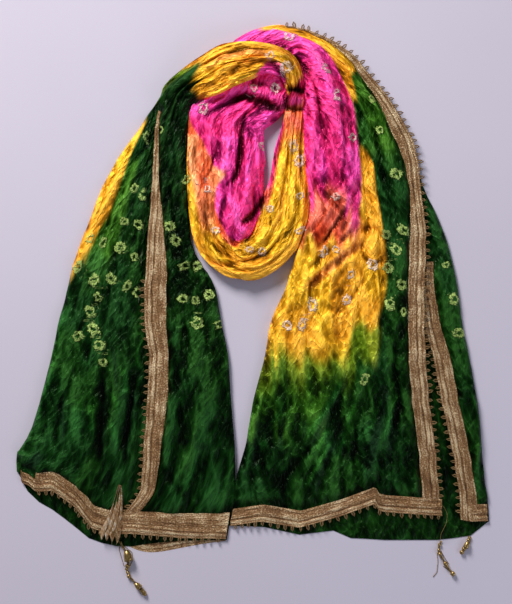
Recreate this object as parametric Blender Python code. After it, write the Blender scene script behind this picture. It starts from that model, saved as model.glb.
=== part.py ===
"""A tie-dyed crinkled silk stole, laid flat: a loop at the top and two folded tails below.

The cloth is one sheet. Each tail is folded like a letter C, with a bottom layer and two
flaps that lie back over it, and the loop is the same sheet drawn in to a thick bunch.
A gold ribbon with small picots borders it, and knotted bead tassels hang from three corners.
"""

import math
from collections import namedtuple

import bmesh
import bpy
from mathutils import Vector

# Driving dimensions, in metres
RIBBON_WIDTH = 0.0255
RIBBON_THICK = 0.0012
CLOTH_THICK = 0.0016
LAYER_STEP = 0.0026       # from the middle of one layer of cloth to the next
RIBBON_STEP = 0.0040      # the same where a ribbon lies between the two layers
SEAT = 0.0007             # left between a ribbon and its cloth
ROW_STEP = 0.036          # the longest stretch of the outline between two rows of the sheet
PICOT_PITCH = 0.0112
PICOT_LONG = 0.0065
PICOT_SHARE = 0.42        # of the pitch that a picot's root takes
HEM_FADE_ROWS = 3.0       # stations over which the hem's unevenness dies out

# The layout is drawn on squares of 1.5 mm, x to the right and y down, so that the ribbon is 17 wide
SQUARE = RIBBON_WIDTH / 17
MIDDLE_X = 253.0
MIDDLE_Y = 309.45

# One row for each place along the stole, from the left tail's hem over the loop to the right
# tail's hem. left and right are its outline, seen along the way. lift is the underside's height,
# high the top layer's height over the bottom one and low that of a flat shelf along the left
# side, shelf that shelf's share of the width. bunch is 0 where the cloth lies flat and 1 where
# it is drawn in. inset is how far the inner fold stands back from the left outline, tuck how
# round the side folds are. under and over are where the hidden and the top flap end, as shares
# of the width from the left, and band is the ribbon's visible width. Heights are in mm.
Place = namedtuple("Place", "lx ly rx ry lift high shelf low bunch inset tuck under over band")
PLACES = [Place(*row) for row in (
    # left tail
    (17, 471, 225.5, 538, 0, 2.6, 0, 0, 0, 0, 2, 0.50, 0.51, 17),
    (17, 455, 229, 514, 0, 2.6, 0, 0, 0, 0, 2, 0.50, 0.53, 17),
    (23, 446, 233, 490, 0, 2.6, 0, 0, 0, 0, 2, 0.57, 0.565, 17),
    (33, 428, 234, 440, 0, 2.6, 0, 0, 0, 0, 2, 0.62, 0.552, 17),
    (43, 395, 232, 395, 0, 2.8, 0, 0, 0, 0, 2, 0.64, 0.555, 17),
    (52, 358, 230, 355, 0, 3.0, 0, 0, 0, 0, 2, 0.65, 0.545, 17),
    (61, 318, 222, 320, 0, 3.2, 0, 0, 0, 0, 3, 0.65, 0.53, 17),
    (70, 282, 214, 286, 0, 3.6, 0, 0, 0, 0, 3, 0.65, 0.53, 17),
    (79, 247, 202, 266, 0, 4.2, 0, 0, 0.05, 0, 3, 0.67, 0.55, 17),
    (89, 216, 192, 246, 0, 5.0, 0, 0, 0.1, 0, 4, 0.68, 0.58, 14),
    (101, 185, 188, 222, 0, 6.0, 0, 0, 0.2, 0, 4, 0.68, 0.58, 9),
    (114, 162, 186.5, 196, 0, 7.5, 0, 0, 0.3, 0, 5, 0.66, 0.54, 7),
    (128, 144, 186.5, 172, 0, 9.0, 0, 0, 0.4, 1, 5, 0.62, 0.45, 5),
    (141, 127, 186.5, 150, 0, 10.5, 0, 0, 0.5, 2, 5, 0.60, 0.33, 4),
    (152, 110, 187, 131, 0, 12.0, 0, 0, 0.7, 3, 5, 0.62, 0.18, 4),
    (161, 95, 188.5, 116, 0, 13.0, 0, 0, 0.9, 4, 5, 0.70, 0.08, 6),
    # shoulder and arch, which climbs over the strand that comes up inside the loop
    (170, 83, 192, 105, 2, 13.0, 0, 0, 1, 6, 6, 0.80, 0.02, 6),
    (183, 69, 201, 99, 7, 13.0, 0, 0, 1, 7, 6, 0.85, 0, 6),
    (200, 57, 214, 97, 14, 12.5, 0, 0, 1, 7, 6, 0.85, 0, 6),
    (221, 45, 231, 92, 18, 12.5, 0, 0, 1, 7, 6, 0.85, 0, 6),
    (245, 42, 252, 87, 18, 12.5, 0, 0, 1, 7, 6, 0.85, 0, 6),
    (268, 44, 268, 84, 18, 12.5, 0, 0, 1, 7, 6, 0.85, 0, 6),
    (286, 50, 281, 86, 17, 12.0, 0, 0, 1, 6, 6, 0.85, 0, 6),
    (297, 60, 286, 91, 12, 11.5, 0, 0, 1, 5, 5, 0.85, 0, 6),
    (303, 76, 288, 97, 5, 11.5, 0, 0, 1, 4, 4, 0.80, 0, 4),
    (303.5, 96, 286, 108, 0.5, 15.0, 0, 0, 1, 4, 4, 0.80, 0, 4),
    # down the inner right side
    (302.5, 119, 284, 120, 0, 14.0, 0, 0, 1, 5, 4, 0.80, 0, 4),
    (302.5, 148, 277, 149, 0, 14.0, 0, 0, 1, 6, 5, 0.85, 0, 6),
    (305.5, 180, 271.5, 180, 0, 15.0, 0, 0, 1, 7, 6, 0.85, 0, 6),
    (305.5, 208, 265.5, 199, 0, 16.0, 0, 0, 1, 8, 6, 0.85, 0, 6),
    (302, 231, 263.5, 215, 0, 17.0, 0, 0, 1, 8, 6, 0.85, 0, 6),
    # round the bottom of the loop
    (289.5, 256, 261.5, 229, 0, 18.0, 0, 0, 1, 8, 6, 0.85, 0, 6),
    (271, 273, 257, 240, 0, 18.0, 0, 0, 1, 8, 6, 0.85, 0, 6),
    (250, 280, 250, 245, 0, 18.0, 0, 0, 1, 8, 6, 0.85, 0, 6),
    (228, 276, 245, 244, 0, 18.0, 0.15, 13, 1, 8, 6, 0.85, 0, 6),
    (208, 263, 245.5, 240, 0, 19.0, 0.30, 13, 1, 8, 6, 0.85, 0, 6),
    (196, 244, 252, 233, 0, 21.0, 0.36, 12, 1, 8, 6, 0.85, 0, 6),
    # up the left side, with the fat inner lobe
    (190.5, 217, 260, 216, 0, 23.0, 0.38, 12, 1, 8, 7, 0.85, 0, 6),
    (188.5, 189, 262, 191, 0, 24.0, 0.38, 12, 1, 8, 7, 0.85, 0, 6),
    (188, 160, 265.5, 163, 0, 23.0, 0.36, 12, 1, 8, 7, 0.85, 0, 6),
    (189, 138, 263, 141, 0, 20.0, 0.33, 11, 1, 8, 6, 0.85, 0, 6),
    (191, 118, 263, 130, 0, 16.0, 0.28, 10, 1, 8, 6, 0.85, 0, 6),
    # under the arch, turning to the right
    (201, 105, 269, 126, 0, 13.0, 0.2, 9, 1, 7, 6, 0.85, 0, 6),
    (213, 90, 275, 121, 0, 12.0, 0.1, 9, 1, 7, 6, 0.85, 0, 6),
    (223, 68, 280, 113, 0, 12.0, 0, 0, 1, 7, 6, 0.85, 0, 6),
    (235, 46, 282, 103, 0, 12.0, 0, 0, 1, 7, 6, 0.85, 0, 6),
    (251, 32, 284, 92, 0, 12.0, 0, 0, 1, 6, 6, 0.85, 0, 6),
    (267, 27, 286.5, 77, 0, 11.5, 0, 0, 1, 5, 6, 0.85, 0, 3),
    (283, 26, 292, 59, 0, 12.0, 0.20, 5.2, 1, 4, 5, 0.85, 0, 3),
    # the outer band, with the flat shelf that carries the ribbon outside it
    (304, 29, 300.5, 50, 0, 15.0, 0.34, 5.2, 1, 4, 5, 0.80, 0, 5),
    (329, 39, 306, 59, 0, 18.0, 0.38, 5.2, 1, 4, 5, 0.80, 0, 8),
    (351, 56, 307.5, 73, 0, 21.0, 0.41, 5.2, 1, 4, 6, 0.80, 0, 10),
    (370, 78, 308, 89, 0, 24.0, 0.43, 5.2, 1, 4, 6, 0.80, 0, 12),
    (387, 105, 306.5, 107, 0, 25.0, 0.44, 5.2, 1, 4, 7, 0.75, 0, 13),
    (402, 135, 305.5, 134, 0, 25.0, 0.46, 5.2, 1, 4, 7, 0.70, 0, 15),
    (414, 163, 306.5, 162, 0, 24.0, 0.49, 5.4, 1, 3, 7, 0.60, 0.01, 17),
    (425, 190, 311, 190, 0, 22.0, 0.54, 5.4, 0.9, 0, 7, 0.40, 0.06, 17),
    # right tail
    (438, 217, 312, 214, 0, 19.0, 0.57, 5.2, 0.75, 0, 6, 0.28, 0.14, 17),
    (449, 247, 299, 250, 0, 14.5, 0.56, 5.0, 0.6, 0, 5, 0.22, 0.19, 17),
    (457, 284, 287, 285, 0, 9.5, 0.50, 4.6, 0.4, 0, 4, 0.155, 0.21, 17),
    (463, 322, 272, 320, 0, 6.0, 0.40, 4.0, 0.2, 0, 3, 0.145, 0.205, 17),
    (470, 362, 265, 360, 0, 4.2, 0.2, 3.6, 0.1, 0, 3, 0.14, 0.20, 17),
    (477, 400, 253, 400, 0, 3.2, 0, 0, 0, 0, 2, 0.135, 0.19, 17),
    (481, 440, 247, 438, 0, 2.8, 0, 0, 0, 0, 2, 0.125, 0.188, 17),
    (484, 478, 239, 476, 0, 2.6, 0, 0, 0, 0, 2, 0.11, 0.188, 17),
    (488, 504, 232.5, 509, 0, 2.6, 0, 0, 0, 0, 2, 0.095, 0.19, 17),
    (489, 521, 230.5, 526, 0, 2.6, 0, 0, 0, 0, 2, 0.085, 0.18, 17),
)]

# How far each hem hangs below the straight line across it, at shares of the width from the
# left outline: the flaps on top, and the bottom layer that shows below them
Hem = namedtuple("Hem", "share flap bottom")
LEFT_HEM = [Hem(*row) for row in (
    (0.0, 0, 0), (0.07, 2, 4), (0.11, 14, 20), (0.18, 8, 24), (0.30, 17, 33),
    (0.40, 32, 40), (0.50, 31, 37), (0.58, 25, 33), (0.78, 15, 20), (1.0, 1, 3),
)]
RIGHT_HEM = [Hem(*row) for row in (
    (0.0, 0, 0), (0.07, 0, 14), (0.18, -6, 18), (0.40, -10, 17), (0.45, -18, 16),
    (0.556, -9, 14), (0.58, -7, 6), (0.73, 3, 10), (0.876, -4, 1), (1.0, 0, 0),
)]

# Main lengthwise folds of the flaps: each runs from station first to last, at a share of the
# width that drifts from start to end, wide as a share of the width and rise in mm high
Fold = namedtuple("Fold", "first last start end wide rise")
FOLDS = [Fold(*row) for row in (
    (0, 11, 0.13, 0.20, 0.10, 3.0), (0, 9, 0.30, 0.36, 0.09, 2.4), (1, 12, 0.44, 0.40, 0.07, 2.0),
    (0, 10, 0.70, 0.76, 0.10, 3.0), (2, 13, 0.88, 0.86, 0.09, 2.6), (13, 24, 0.28, 0.34, 0.12, 3.2),
    (14, 25, 0.66, 0.62, 0.13, 3.0), (25, 37, 0.36, 0.30, 0.13, 3.0), (26, 36, 0.72, 0.70, 0.13, 3.4),
    (35, 44, 0.58, 0.52, 0.10, 2.6), (34, 46, 0.84, 0.80, 0.11, 3.0), (38, 48, 0.22, 0.30, 0.12, 2.2),
    (47, 58, 0.66, 0.72, 0.09, 3.0), (48, 60, 0.88, 0.90, 0.09, 2.6), (53, 62, 0.36, 0.34, 0.08, 1.6),
    (56, 66, 0.52, 0.44, 0.09, 3.2), (55, 66, 0.74, 0.66, 0.09, 3.0), (57, 66, 0.90, 0.88, 0.08, 2.4),
    (60, 66, 0.32, 0.28, 0.06, 1.8),
)]

# Points across the sheet: the hidden flap, a side fold, the bottom, a side fold, the top flap
UNDER_POINTS = 5
TURN_POINTS = 3
BOTTOM_POINTS = 8
OVER_POINTS = 10
BOTTOM_FIRST = UNDER_POINTS + TURN_POINTS
OVER_FIRST = BOTTOM_FIRST + BOTTOM_POINTS + TURN_POINTS
ACROSS = OVER_FIRST + OVER_POINTS

COLOURS = {
    "silk": ((0.020, 0.105, 0.022), 0.45, 0.0),
    "gota": ((0.45, 0.28, 0.14), 0.38, 0.8),
    "bead": ((0.52, 0.40, 0.16), 0.30, 0.9),
}


def clear_scene():
    for old in list(bpy.data.objects):
        bpy.data.objects.remove(old, do_unlink=True)


def material(name):
    colour, roughness, metallic = COLOURS[name]
    made = bpy.data.materials.new(name)
    made.use_nodes = True
    shader = made.node_tree.nodes["Principled BSDF"]
    shader.inputs["Base Color"].default_value = (*colour, 1)
    shader.inputs["Roughness"].default_value = roughness
    shader.inputs["Metallic"].default_value = metallic
    return made


def on_floor(x, y, z=0.0):
    """A point of the layout in metres, about the part's middle."""
    return Vector(((x - MIDDLE_X) * SQUARE, (MIDDLE_Y - y) * SQUARE, z))


def smooth(value):
    value = min(max(value, 0.0), 1.0)
    return value * value * (3 - 2 * value)


def curve_through(a, b, c, d, t):
    """The Catmull-Rom curve from b to c."""
    return 0.5 * (2 * b + (c - a) * t + (2 * a - 5 * b + 4 * c - d) * t ** 2
                  + (3 * b - a - 3 * c + d) * t ** 3)


def place_at(t):
    """The places' columns at any distance along the stole, counted in rows of the table."""
    last = len(PLACES) - 1
    k = min(int(t), last - 1)
    around = [PLACES[min(max(k + step, 0), last)] for step in (-1, 0, 1, 2)]
    share = t - k
    values = []
    for name, quad in zip(Place._fields, zip(*around)):
        if name in ("lx", "ly", "rx", "ry"):
            values.append(curve_through(*quad, share))
        else:
            values.append(quad[1] + (quad[2] - quad[1]) * share)
    return Place(*values)


def hem_drop(hems, share, column):
    """How far the hem hangs below its straight line at a share of the width."""
    for before, after in zip(hems, hems[1:]):
        if share <= after.share:
            t = (share - before.share) / (after.share - before.share)
            return getattr(before, column) * (1 - t) + getattr(after, column) * t
    return getattr(hems[-1], column)


def fold_rise(t, share):
    """Height that the main folds add to the flaps."""
    total = 0.0
    for fold in FOLDS:
        run = (t - fold.first) / (fold.last - fold.first)
        if not 0 <= run <= 1:
            continue
        centre = fold.start + (fold.end - fold.start) * run
        off = abs(share - centre) / fold.wide
        if off >= 1:
            continue
        ends = 1.0
        if fold.first > 0:
            ends *= smooth(run * 4)
        if fold.last < len(PLACES) - 1:
            ends *= smooth((1 - run) * 4)
        total += 0.001 * fold.rise * ends * (0.5 + 0.5 * math.cos(math.pi * off))
    return total


def crown(place, share):
    """Height of the top layer over the bottom one at a share of the width, without its folds."""
    high, low = 0.001 * place.high, 0.001 * place.low
    if place.bunch == 0 and place.shelf == 0:
        return high
    foot = min(high, 0.0042)
    rise = 0.28 * max(1 - place.shelf, 0.4)
    side = 1 - (1 - min(share / rise, 1)) ** 2
    if place.shelf > 0.01:
        step = smooth((share - place.shelf + 0.04) / 0.16)
        full = min(low, high) + (high - min(low, high)) * step
        side = 1 - (1 - min(share / min(rise, place.shelf), 1)) ** 2
    else:
        full = high
    shoulder = 1 - 0.42 * place.bunch * smooth((share - 0.72) / 0.28)
    rounded = (foot + (full - foot) * side) * shoulder
    rounded = max(rounded, min(full, foot))
    return rounded * place.bunch + full * (1 - place.bunch)


def spread(start, end, count, last_gap):
    """count distances from start to end, evenly spaced but for a last gap of its own."""
    run = end - start
    gap = math.copysign(min(abs(last_gap), 0.45 * abs(run)), run)
    inner = [start + (run - gap) * i / (count - 2) for i in range(count - 1)]
    return inner + [end]


def section(t):
    """(distance across, height, layer) of each point across the sheet at this place."""
    place = place_at(t)
    width = (Vector((place.rx, place.ry)) - Vector((place.lx, place.ly))).length * SQUARE
    bottom = 0.001 * place.lift + CLOTH_THICK / 2
    tuck = 0.001 * place.tuck
    first = 0.001 * place.inset + tuck
    last = width - tuck
    band = place.band * SQUARE
    under_end = place.under * width
    over_end = place.over * width
    overlap = smooth((under_end - over_end + PICOT_LONG + 0.012) / 0.008)

    def surface(across):
        share = across / width
        return crown(place, share) + fold_rise(t, share)

    def under_height(across):
        return bottom + max(LAYER_STEP, surface(across) * (1 - overlap))

    def over_height(across):
        covered = overlap * smooth((under_end + 2 * ROW_STEP - across) / ROW_STEP)
        free = bottom + surface(across)
        return free + max(under_height(across) + RIBBON_STEP - free, 0) * covered

    hidden = [(a, under_height(a), "flap") for a in spread(first, under_end, UNDER_POINTS, band)]
    top = [(a, over_height(a), "flap") for a in spread(last, over_end, OVER_POINTS, band)]
    flat = [(first + (last - first) * (0.5 - 0.5 * math.cos(math.pi * i / (BOTTOM_POINTS - 1))),
             bottom, "bottom") for i in range(BOTTOM_POINTS)]
    turns = []
    for centre, height, way in ((first, hidden[0][1], -1), (last, top[0][1], 1)):
        middle, radius = (height + bottom) / 2, (height - bottom) / 2
        turns.append([(centre + way * tuck * math.sin(math.pi * k / (TURN_POINTS + 1)),
                       middle + way * -radius * math.cos(math.pi * k / (TURN_POINTS + 1)), "turn")
                      for k in range(1, TURN_POINTS + 1)])
    return hidden[::-1] + turns[0] + flat + turns[1] + top


def hem_ramp(t):
    """(table, share of the hem's unevenness that reaches this place, way along the stole)."""
    last = len(PLACES) - 1
    if t < last / 2:
        return LEFT_HEM, 1 - smooth((t - 1) / HEM_FADE_ROWS), 1
    return RIGHT_HEM, 1 - smooth((last - 1 - t) / HEM_FADE_ROWS), -1


def row_points(t):
    """The sheet's middle surface across one place, in metres."""
    place = place_at(t)
    left, right = on_floor(place.lx, place.ly), on_floor(place.rx, place.ry)
    width = (right - left).length
    across_way = (right - left) / width
    hems, ramp, way = hem_ramp(t)
    down = Vector((across_way.y, -across_way.x, 0)) * way
    points = []
    for across, height, layer in section(t):
        share = min(max(across / width, 0), 1)
        if layer == "turn":
            fall = (hem_drop(hems, share, "flap") + hem_drop(hems, share, "bottom")) / 2
        else:
            fall = hem_drop(hems, share, layer)
        point = left + across_way * across + down * (fall * ramp * SQUARE)
        points.append(Vector((point.x, point.y, height)))
    return points


def row_places():
    """Where the sheet's rows lie: at each place, and between places that lie far apart."""
    found = [0.0]
    for k in range(len(PLACES) - 1):
        here, after = PLACES[k], PLACES[k + 1]
        run = max(math.dist((here.lx, here.ly), (after.lx, after.ly)),
                  math.dist((here.rx, here.ry), (after.rx, after.ry))) * SQUARE
        pieces = max(1, round(run / ROW_STEP)) if 0 < k < len(PLACES) - 2 else 1
        found += [k + (i + 1) / pieces for i in range(pieces)]
    return found


def finish(name, mesh, material_name):
    made = bpy.data.objects.new(name, mesh)
    bpy.context.scene.collection.objects.link(made)
    mesh.materials.append(MATERIALS[material_name])
    return made


def cloth():
    """The stole: one sheet, thickened about its middle surface."""
    shape = bmesh.new()
    grid = [[shape.verts.new(point) for point in row] for row in ROWS]
    for before, after in zip(grid, grid[1:]):
        for k in range(ACROSS - 1):
            shape.faces.new((before[k], after[k], after[k + 1], before[k + 1]))
    mesh = bpy.data.meshes.new("stole_cloth")
    shape.to_mesh(mesh)
    shape.free()
    mesh.shade_smooth()
    made = finish("stole_cloth", mesh, "silk")
    thick = made.modifiers.new("sheet", "SOLIDIFY")
    thick.thickness = CLOTH_THICK
    thick.offset = 0
    return made


def along(line, distance):
    """The point at a distance along a run of points, and how many points lie before it."""
    for k, (before, after) in enumerate(zip(line, line[1:])):
        step = (after - before).length
        if distance <= step or k == len(line) - 2:
            return before.lerp(after, distance / step), k + distance / step
        distance -= step


def at_index(line, index):
    k = min(int(index), len(line) - 2)
    return line[k].lerp(line[k + 1], index - k)


def ribbon_stops(outer, picots, start, end):
    """Places along a ribbon, counted in its points, with how far its edge reaches out there."""
    runs = [sum((b - a).length for a, b in zip(outer[:k], outer[1:k + 1]))
            for k in range(len(outer))]
    total = runs[-1] - end
    teeth = []
    if picots:
        for i in range(int((total - start) / PICOT_PITCH)):
            root = start + (i + 0.3) * PICOT_PITCH
            teeth += [(root + share * PICOT_SHARE * PICOT_PITCH, reach)
                      for share, reach in ((0, 0), (0.5, PICOT_LONG), (1, 0))]
    plain = [(run, 0) for run in runs
             if start + 0.001 < run < total - 0.001
             and all(abs(run - at) > 0.0008 for at, reach in teeth)]
    stops = sorted([(start, 0), (total, 0)] + teeth + plain)
    return [(along(outer, distance)[1], reach if (distance, reach) in teeth else None)
            for distance, reach in stops]


def ribbon(name, outer, inner, picots=True, start=0.0, end=0.0):
    """A flat ribbon between two runs of the sheet's points, with picots on its outer edge.

    start and end are what it leaves free at each end, in metres along the outer edge."""
    lift = CLOTH_THICK / 2 + SEAT
    stops = ribbon_stops(outer, picots, start, end)
    shape = bmesh.new()
    rings = []
    for place, (index, reach) in enumerate(stops):
        edge, back = at_index(outer, index), at_index(inner, index)
        if reach is None:
            before = next((s for s in stops[:place][::-1] if s[1] is not None), None)
            after = next((s for s in stops[place:] if s[1] is not None), None)
            reach = 0
            if before and after and (before[1] or after[1]):
                share = (index - before[0]) / (after[0] - before[0])
                reach = before[1] + (after[1] - before[1]) * share
        ahead = at_index(outer, min(index + 0.2, len(outer) - 1))
        behind = at_index(outer, max(index - 0.2, 0))
        up = (edge - back).cross(ahead - behind).normalized()
        if up.z < 0:
            up = -up
        out = edge - back
        out.z = 0
        edge = edge + out.normalized() * reach
        rings.append([shape.verts.new(corner + up * rise)
                      for corner, rise in ((edge, lift), (back, lift),
                                           (back, lift + RIBBON_THICK),
                                           (edge, lift + RIBBON_THICK))])
    for before, after in zip(rings, rings[1:]):
        for k in range(4):
            shape.faces.new((before[k], before[(k + 1) % 4], after[(k + 1) % 4], after[k]))
    shape.faces.new(rings[0][::-1])
    shape.faces.new(rings[-1])
    bmesh.ops.recalc_face_normals(shape, faces=shape.faces)
    mesh = bpy.data.meshes.new(name)
    shape.to_mesh(mesh)
    shape.free()
    return finish(name, mesh, "gota")


def rows_between(first, last):
    return [i for i, t in enumerate(ROW_PLACES) if first <= t <= last]


def edge_ribbon(name, edge, back, first, last, **options):
    """A ribbon along one of the sheet's long edges, between two places."""
    rows = rows_between(first, last)
    return ribbon(name, [ROWS[i][edge] for i in rows], [ROWS[i][back] for i in rows], **options)


def hem_ribbon(name, row, back_row, columns, **options):
    """A ribbon along a hem, over some of the sheet's columns."""
    return ribbon(name, [ROWS[row][k] for k in columns], [ROWS[back_row][k] for k in columns],
                  **options)


def ribbons():
    top, hidden = ACROSS - 1, 0
    end = len(ROWS) - 1
    top_flap = range(top, OVER_FIRST - 1, -1)
    last_place = len(PLACES) - 1
    edge_ribbon("gota_left_front", top, top - 1, 1, 14, start=0.001, end=0.004)
    hem_ribbon("gota_left_hem_right", 0, 1, top_flap, end=0.001)
    hem_ribbon("gota_left_hem_left", 0, 1, range(UNDER_POINTS), start=0.006, end=0.001)
    edge_ribbon("gota_right_long", top, top - 1, 48, last_place - 1, start=0.002, end=0.001)
    edge_ribbon("gota_right_short", hidden, hidden + 1, 57.6, last_place, end=0.0005)
    hem_ribbon("gota_right_hem", end, end - 1, top_flap, end=0.001)
    hem_ribbon("gota_right_corner", end, end - 1, range(1, UNDER_POINTS), start=0.001, end=0.001)


# Where the lower layer's hem ribbon looks out below the left tail: its outer and inner edge
UNDER_HEM_OUTER = ((126, 543), (137, 549), (151.5, 553), (168, 550.5), (182, 546.5))
UNDER_HEM_INNER = ((127.5, 541.5), (138, 542.5), (151, 544.5), (167, 543.5), (181, 542.5))
UNDER_HEM_HEIGHT = 0.0002

# The ribbon bunched up at the left tail's corner: its folds' run from root to tip
GATHER = {"root": (110, 502), "tip": (102.5, 537), "root_wide": 0.009, "tip_wide": 0.024,
          "pleats": 4, "rows": 6, "deep": 0.0050, "height": 0.0076}


def under_hem():
    outer = [on_floor(x, y, UNDER_HEM_HEIGHT - CLOTH_THICK / 2 - SEAT) for x, y in UNDER_HEM_OUTER]
    inner = [on_floor(x, y, UNDER_HEM_HEIGHT - CLOTH_THICK / 2 - SEAT) for x, y in UNDER_HEM_INNER]
    ribbon("gota_left_under_hem", outer, inner, picots=False)


def gather(root, tip, root_wide, tip_wide, pleats, rows, deep, height):
    """The bunched ribbon: a fan of sharp pleats that opens toward its tip."""
    start, end = on_floor(*root), on_floor(*tip)
    way = end - start
    side = Vector((-way.y, way.x, 0)).normalized()
    shape = bmesh.new()
    grid = []
    for i in range(rows):
        share = i / (rows - 1)
        wide = root_wide + (tip_wide - root_wide) * share
        slant = 0.003 * math.sin(3 * share)
        grid.append([])
        for k in range(2 * pleats + 1):
            across = (k / (2 * pleats) - 0.5) * wide + slant
            rise = (k % 2) * deep * (1 - 0.35 * share) * (0.7 + 0.3 * math.sin(2.1 * k))
            point = start + way * share + side * across
            grid[-1].append(shape.verts.new((point.x, point.y, height + rise)))
    for before, after in zip(grid, grid[1:]):
        for k in range(2 * pleats):
            shape.faces.new((before[k], before[k + 1], after[k + 1], after[k]))
    mesh = bpy.data.meshes.new("gota_left_gather")
    shape.to_mesh(mesh)
    shape.free()
    made = finish("gota_left_gather", mesh, "gota")
    thick = made.modifiers.new("sheet", "SOLIDIFY")
    thick.thickness = RIBBON_THICK
    thick.offset = 0
    return made


# The knotted tassels: each one's route from its corner, then its cord's knots and beads as
# shares of its length with their radii in mm
TASSELS = {
    "tassel_left": {
        "row": 0, "route": ((120.5, 541), (123, 551), (128, 559), (125, 569), (128, 577), (134, 582),
                  (140, 589), (146, 596)),
        "beads": ((0.10, 2.0), (0.26, 6.2), (0.40, 3.6), (0.52, 3.2), (0.66, 2.6), (0.82, 4.4),
                  (0.95, 3.4)),
    },
    "tassel_right_inner": {
        "row": -1, "route": ((443.5, 540), (440, 549), (438, 555), (441, 561), (447, 567), (454, 574)),
        "beads": ((0.12, 2.0), (0.30, 4.0), (0.50, 2.6), (0.70, 4.2), (0.93, 4.2)),
    },
    "tassel_right_outer": {
        "row": -1, "route": ((470, 535), (468, 543), (465, 549), (461, 554)),
        "beads": ((0.12, 2.4), (0.50, 4.6), (0.88, 3.4)),
    },
}
CORD_RADIUS = 0.0011
TASSEL_SIDES = 6
TASSEL_RINGS = 26
BEAD_REACH = 1.25         # a bead's half length, in radii
ROOT_GAP = 0.0010         # left between a tassel's root and the hem


def hem_root(row, x):
    """Where a tassel starts: just off the bottom layer's hem, at the layout's x."""
    hem = sorted(ROWS[row][BOTTOM_FIRST:OVER_FIRST - TURN_POINTS], key=lambda point: point.x)
    target = on_floor(x, 0).x
    before, after = next(pair for pair in zip(hem, hem[1:]) if pair[1].x >= target)
    share = (target - before.x) / (after.x - before.x)
    return before.y + (after.y - before.y) * share - ROOT_GAP


def tassel(name, row, route, beads):
    """Beads and knots on a thin cord that lies on the floor, as one turned run."""
    points = [on_floor(x, y) for x, y in route]
    points[0].y = hem_root(row, route[0][0])
    total = sum((b - a).length for a, b in zip(points, points[1:]))
    shape = bmesh.new()
    rings = []
    for i in range(TASSEL_RINGS + 1):
        share = i / TASSEL_RINGS
        centre = along(points, share * total)[0]
        way = (along(points, min(share + 0.03, 1) * total)[0]
               - along(points, max(share - 0.03, 0) * total)[0]).normalized()
        side = Vector((way.y, -way.x, 0))
        radius = CORD_RADIUS
        for at, size in beads:
            off = abs(share - at) * total / (BEAD_REACH * 0.001 * size)
            if off < 1:
                radius = max(radius, 0.001 * size * math.sqrt(1 - off * off))
        ring = []
        for k in range(TASSEL_SIDES):
            turn = 2 * math.pi * k / TASSEL_SIDES
            height = radius * (math.cos(math.pi / TASSEL_SIDES) + math.sin(turn))
            ring.append(shape.verts.new(centre + side * radius * math.cos(turn)
                                        + Vector((0, 0, height))))
        rings.append(ring)
    for before, after in zip(rings, rings[1:]):
        for k in range(TASSEL_SIDES):
            beside = (k + 1) % TASSEL_SIDES
            shape.faces.new((before[k], before[beside], after[beside], after[k]))
    shape.faces.new(rings[0][::-1])
    shape.faces.new(rings[-1])
    bmesh.ops.recalc_face_normals(shape, faces=shape.faces)
    mesh = bpy.data.meshes.new(name)
    shape.to_mesh(mesh)
    shape.free()
    mesh.shade_smooth()
    return finish(name, mesh, "bead")


clear_scene()
MATERIALS = {name: material(name) for name in COLOURS}
ROW_PLACES = row_places()
ROWS = [row_points(t) for t in ROW_PLACES]
cloth()
ribbons()
under_hem()
gather(**GATHER)
for tassel_name, sizes in TASSELS.items():
    tassel(tassel_name, **sizes)
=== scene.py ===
import math

import bmesh
import bpy
import numpy as np
from mathutils import Matrix, Vector


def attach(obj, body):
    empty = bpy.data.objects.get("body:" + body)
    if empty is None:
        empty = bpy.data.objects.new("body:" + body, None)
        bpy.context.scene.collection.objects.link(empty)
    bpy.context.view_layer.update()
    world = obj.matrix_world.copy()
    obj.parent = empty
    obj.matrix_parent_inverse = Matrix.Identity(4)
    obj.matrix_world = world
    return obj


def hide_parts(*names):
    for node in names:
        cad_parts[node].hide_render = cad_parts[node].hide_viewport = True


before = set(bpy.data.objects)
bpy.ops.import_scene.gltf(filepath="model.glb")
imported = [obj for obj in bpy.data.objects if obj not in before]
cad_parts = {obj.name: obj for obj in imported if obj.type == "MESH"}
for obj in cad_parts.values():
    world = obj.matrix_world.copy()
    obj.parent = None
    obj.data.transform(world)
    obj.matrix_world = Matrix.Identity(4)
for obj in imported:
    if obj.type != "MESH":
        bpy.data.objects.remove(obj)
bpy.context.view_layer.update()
print("frame loaded")

squareSize = 0.0015  # the layout is drawn on squares of 1.5 mm, x right and y down
middleX, middleY = 253.0, 309.45

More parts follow.
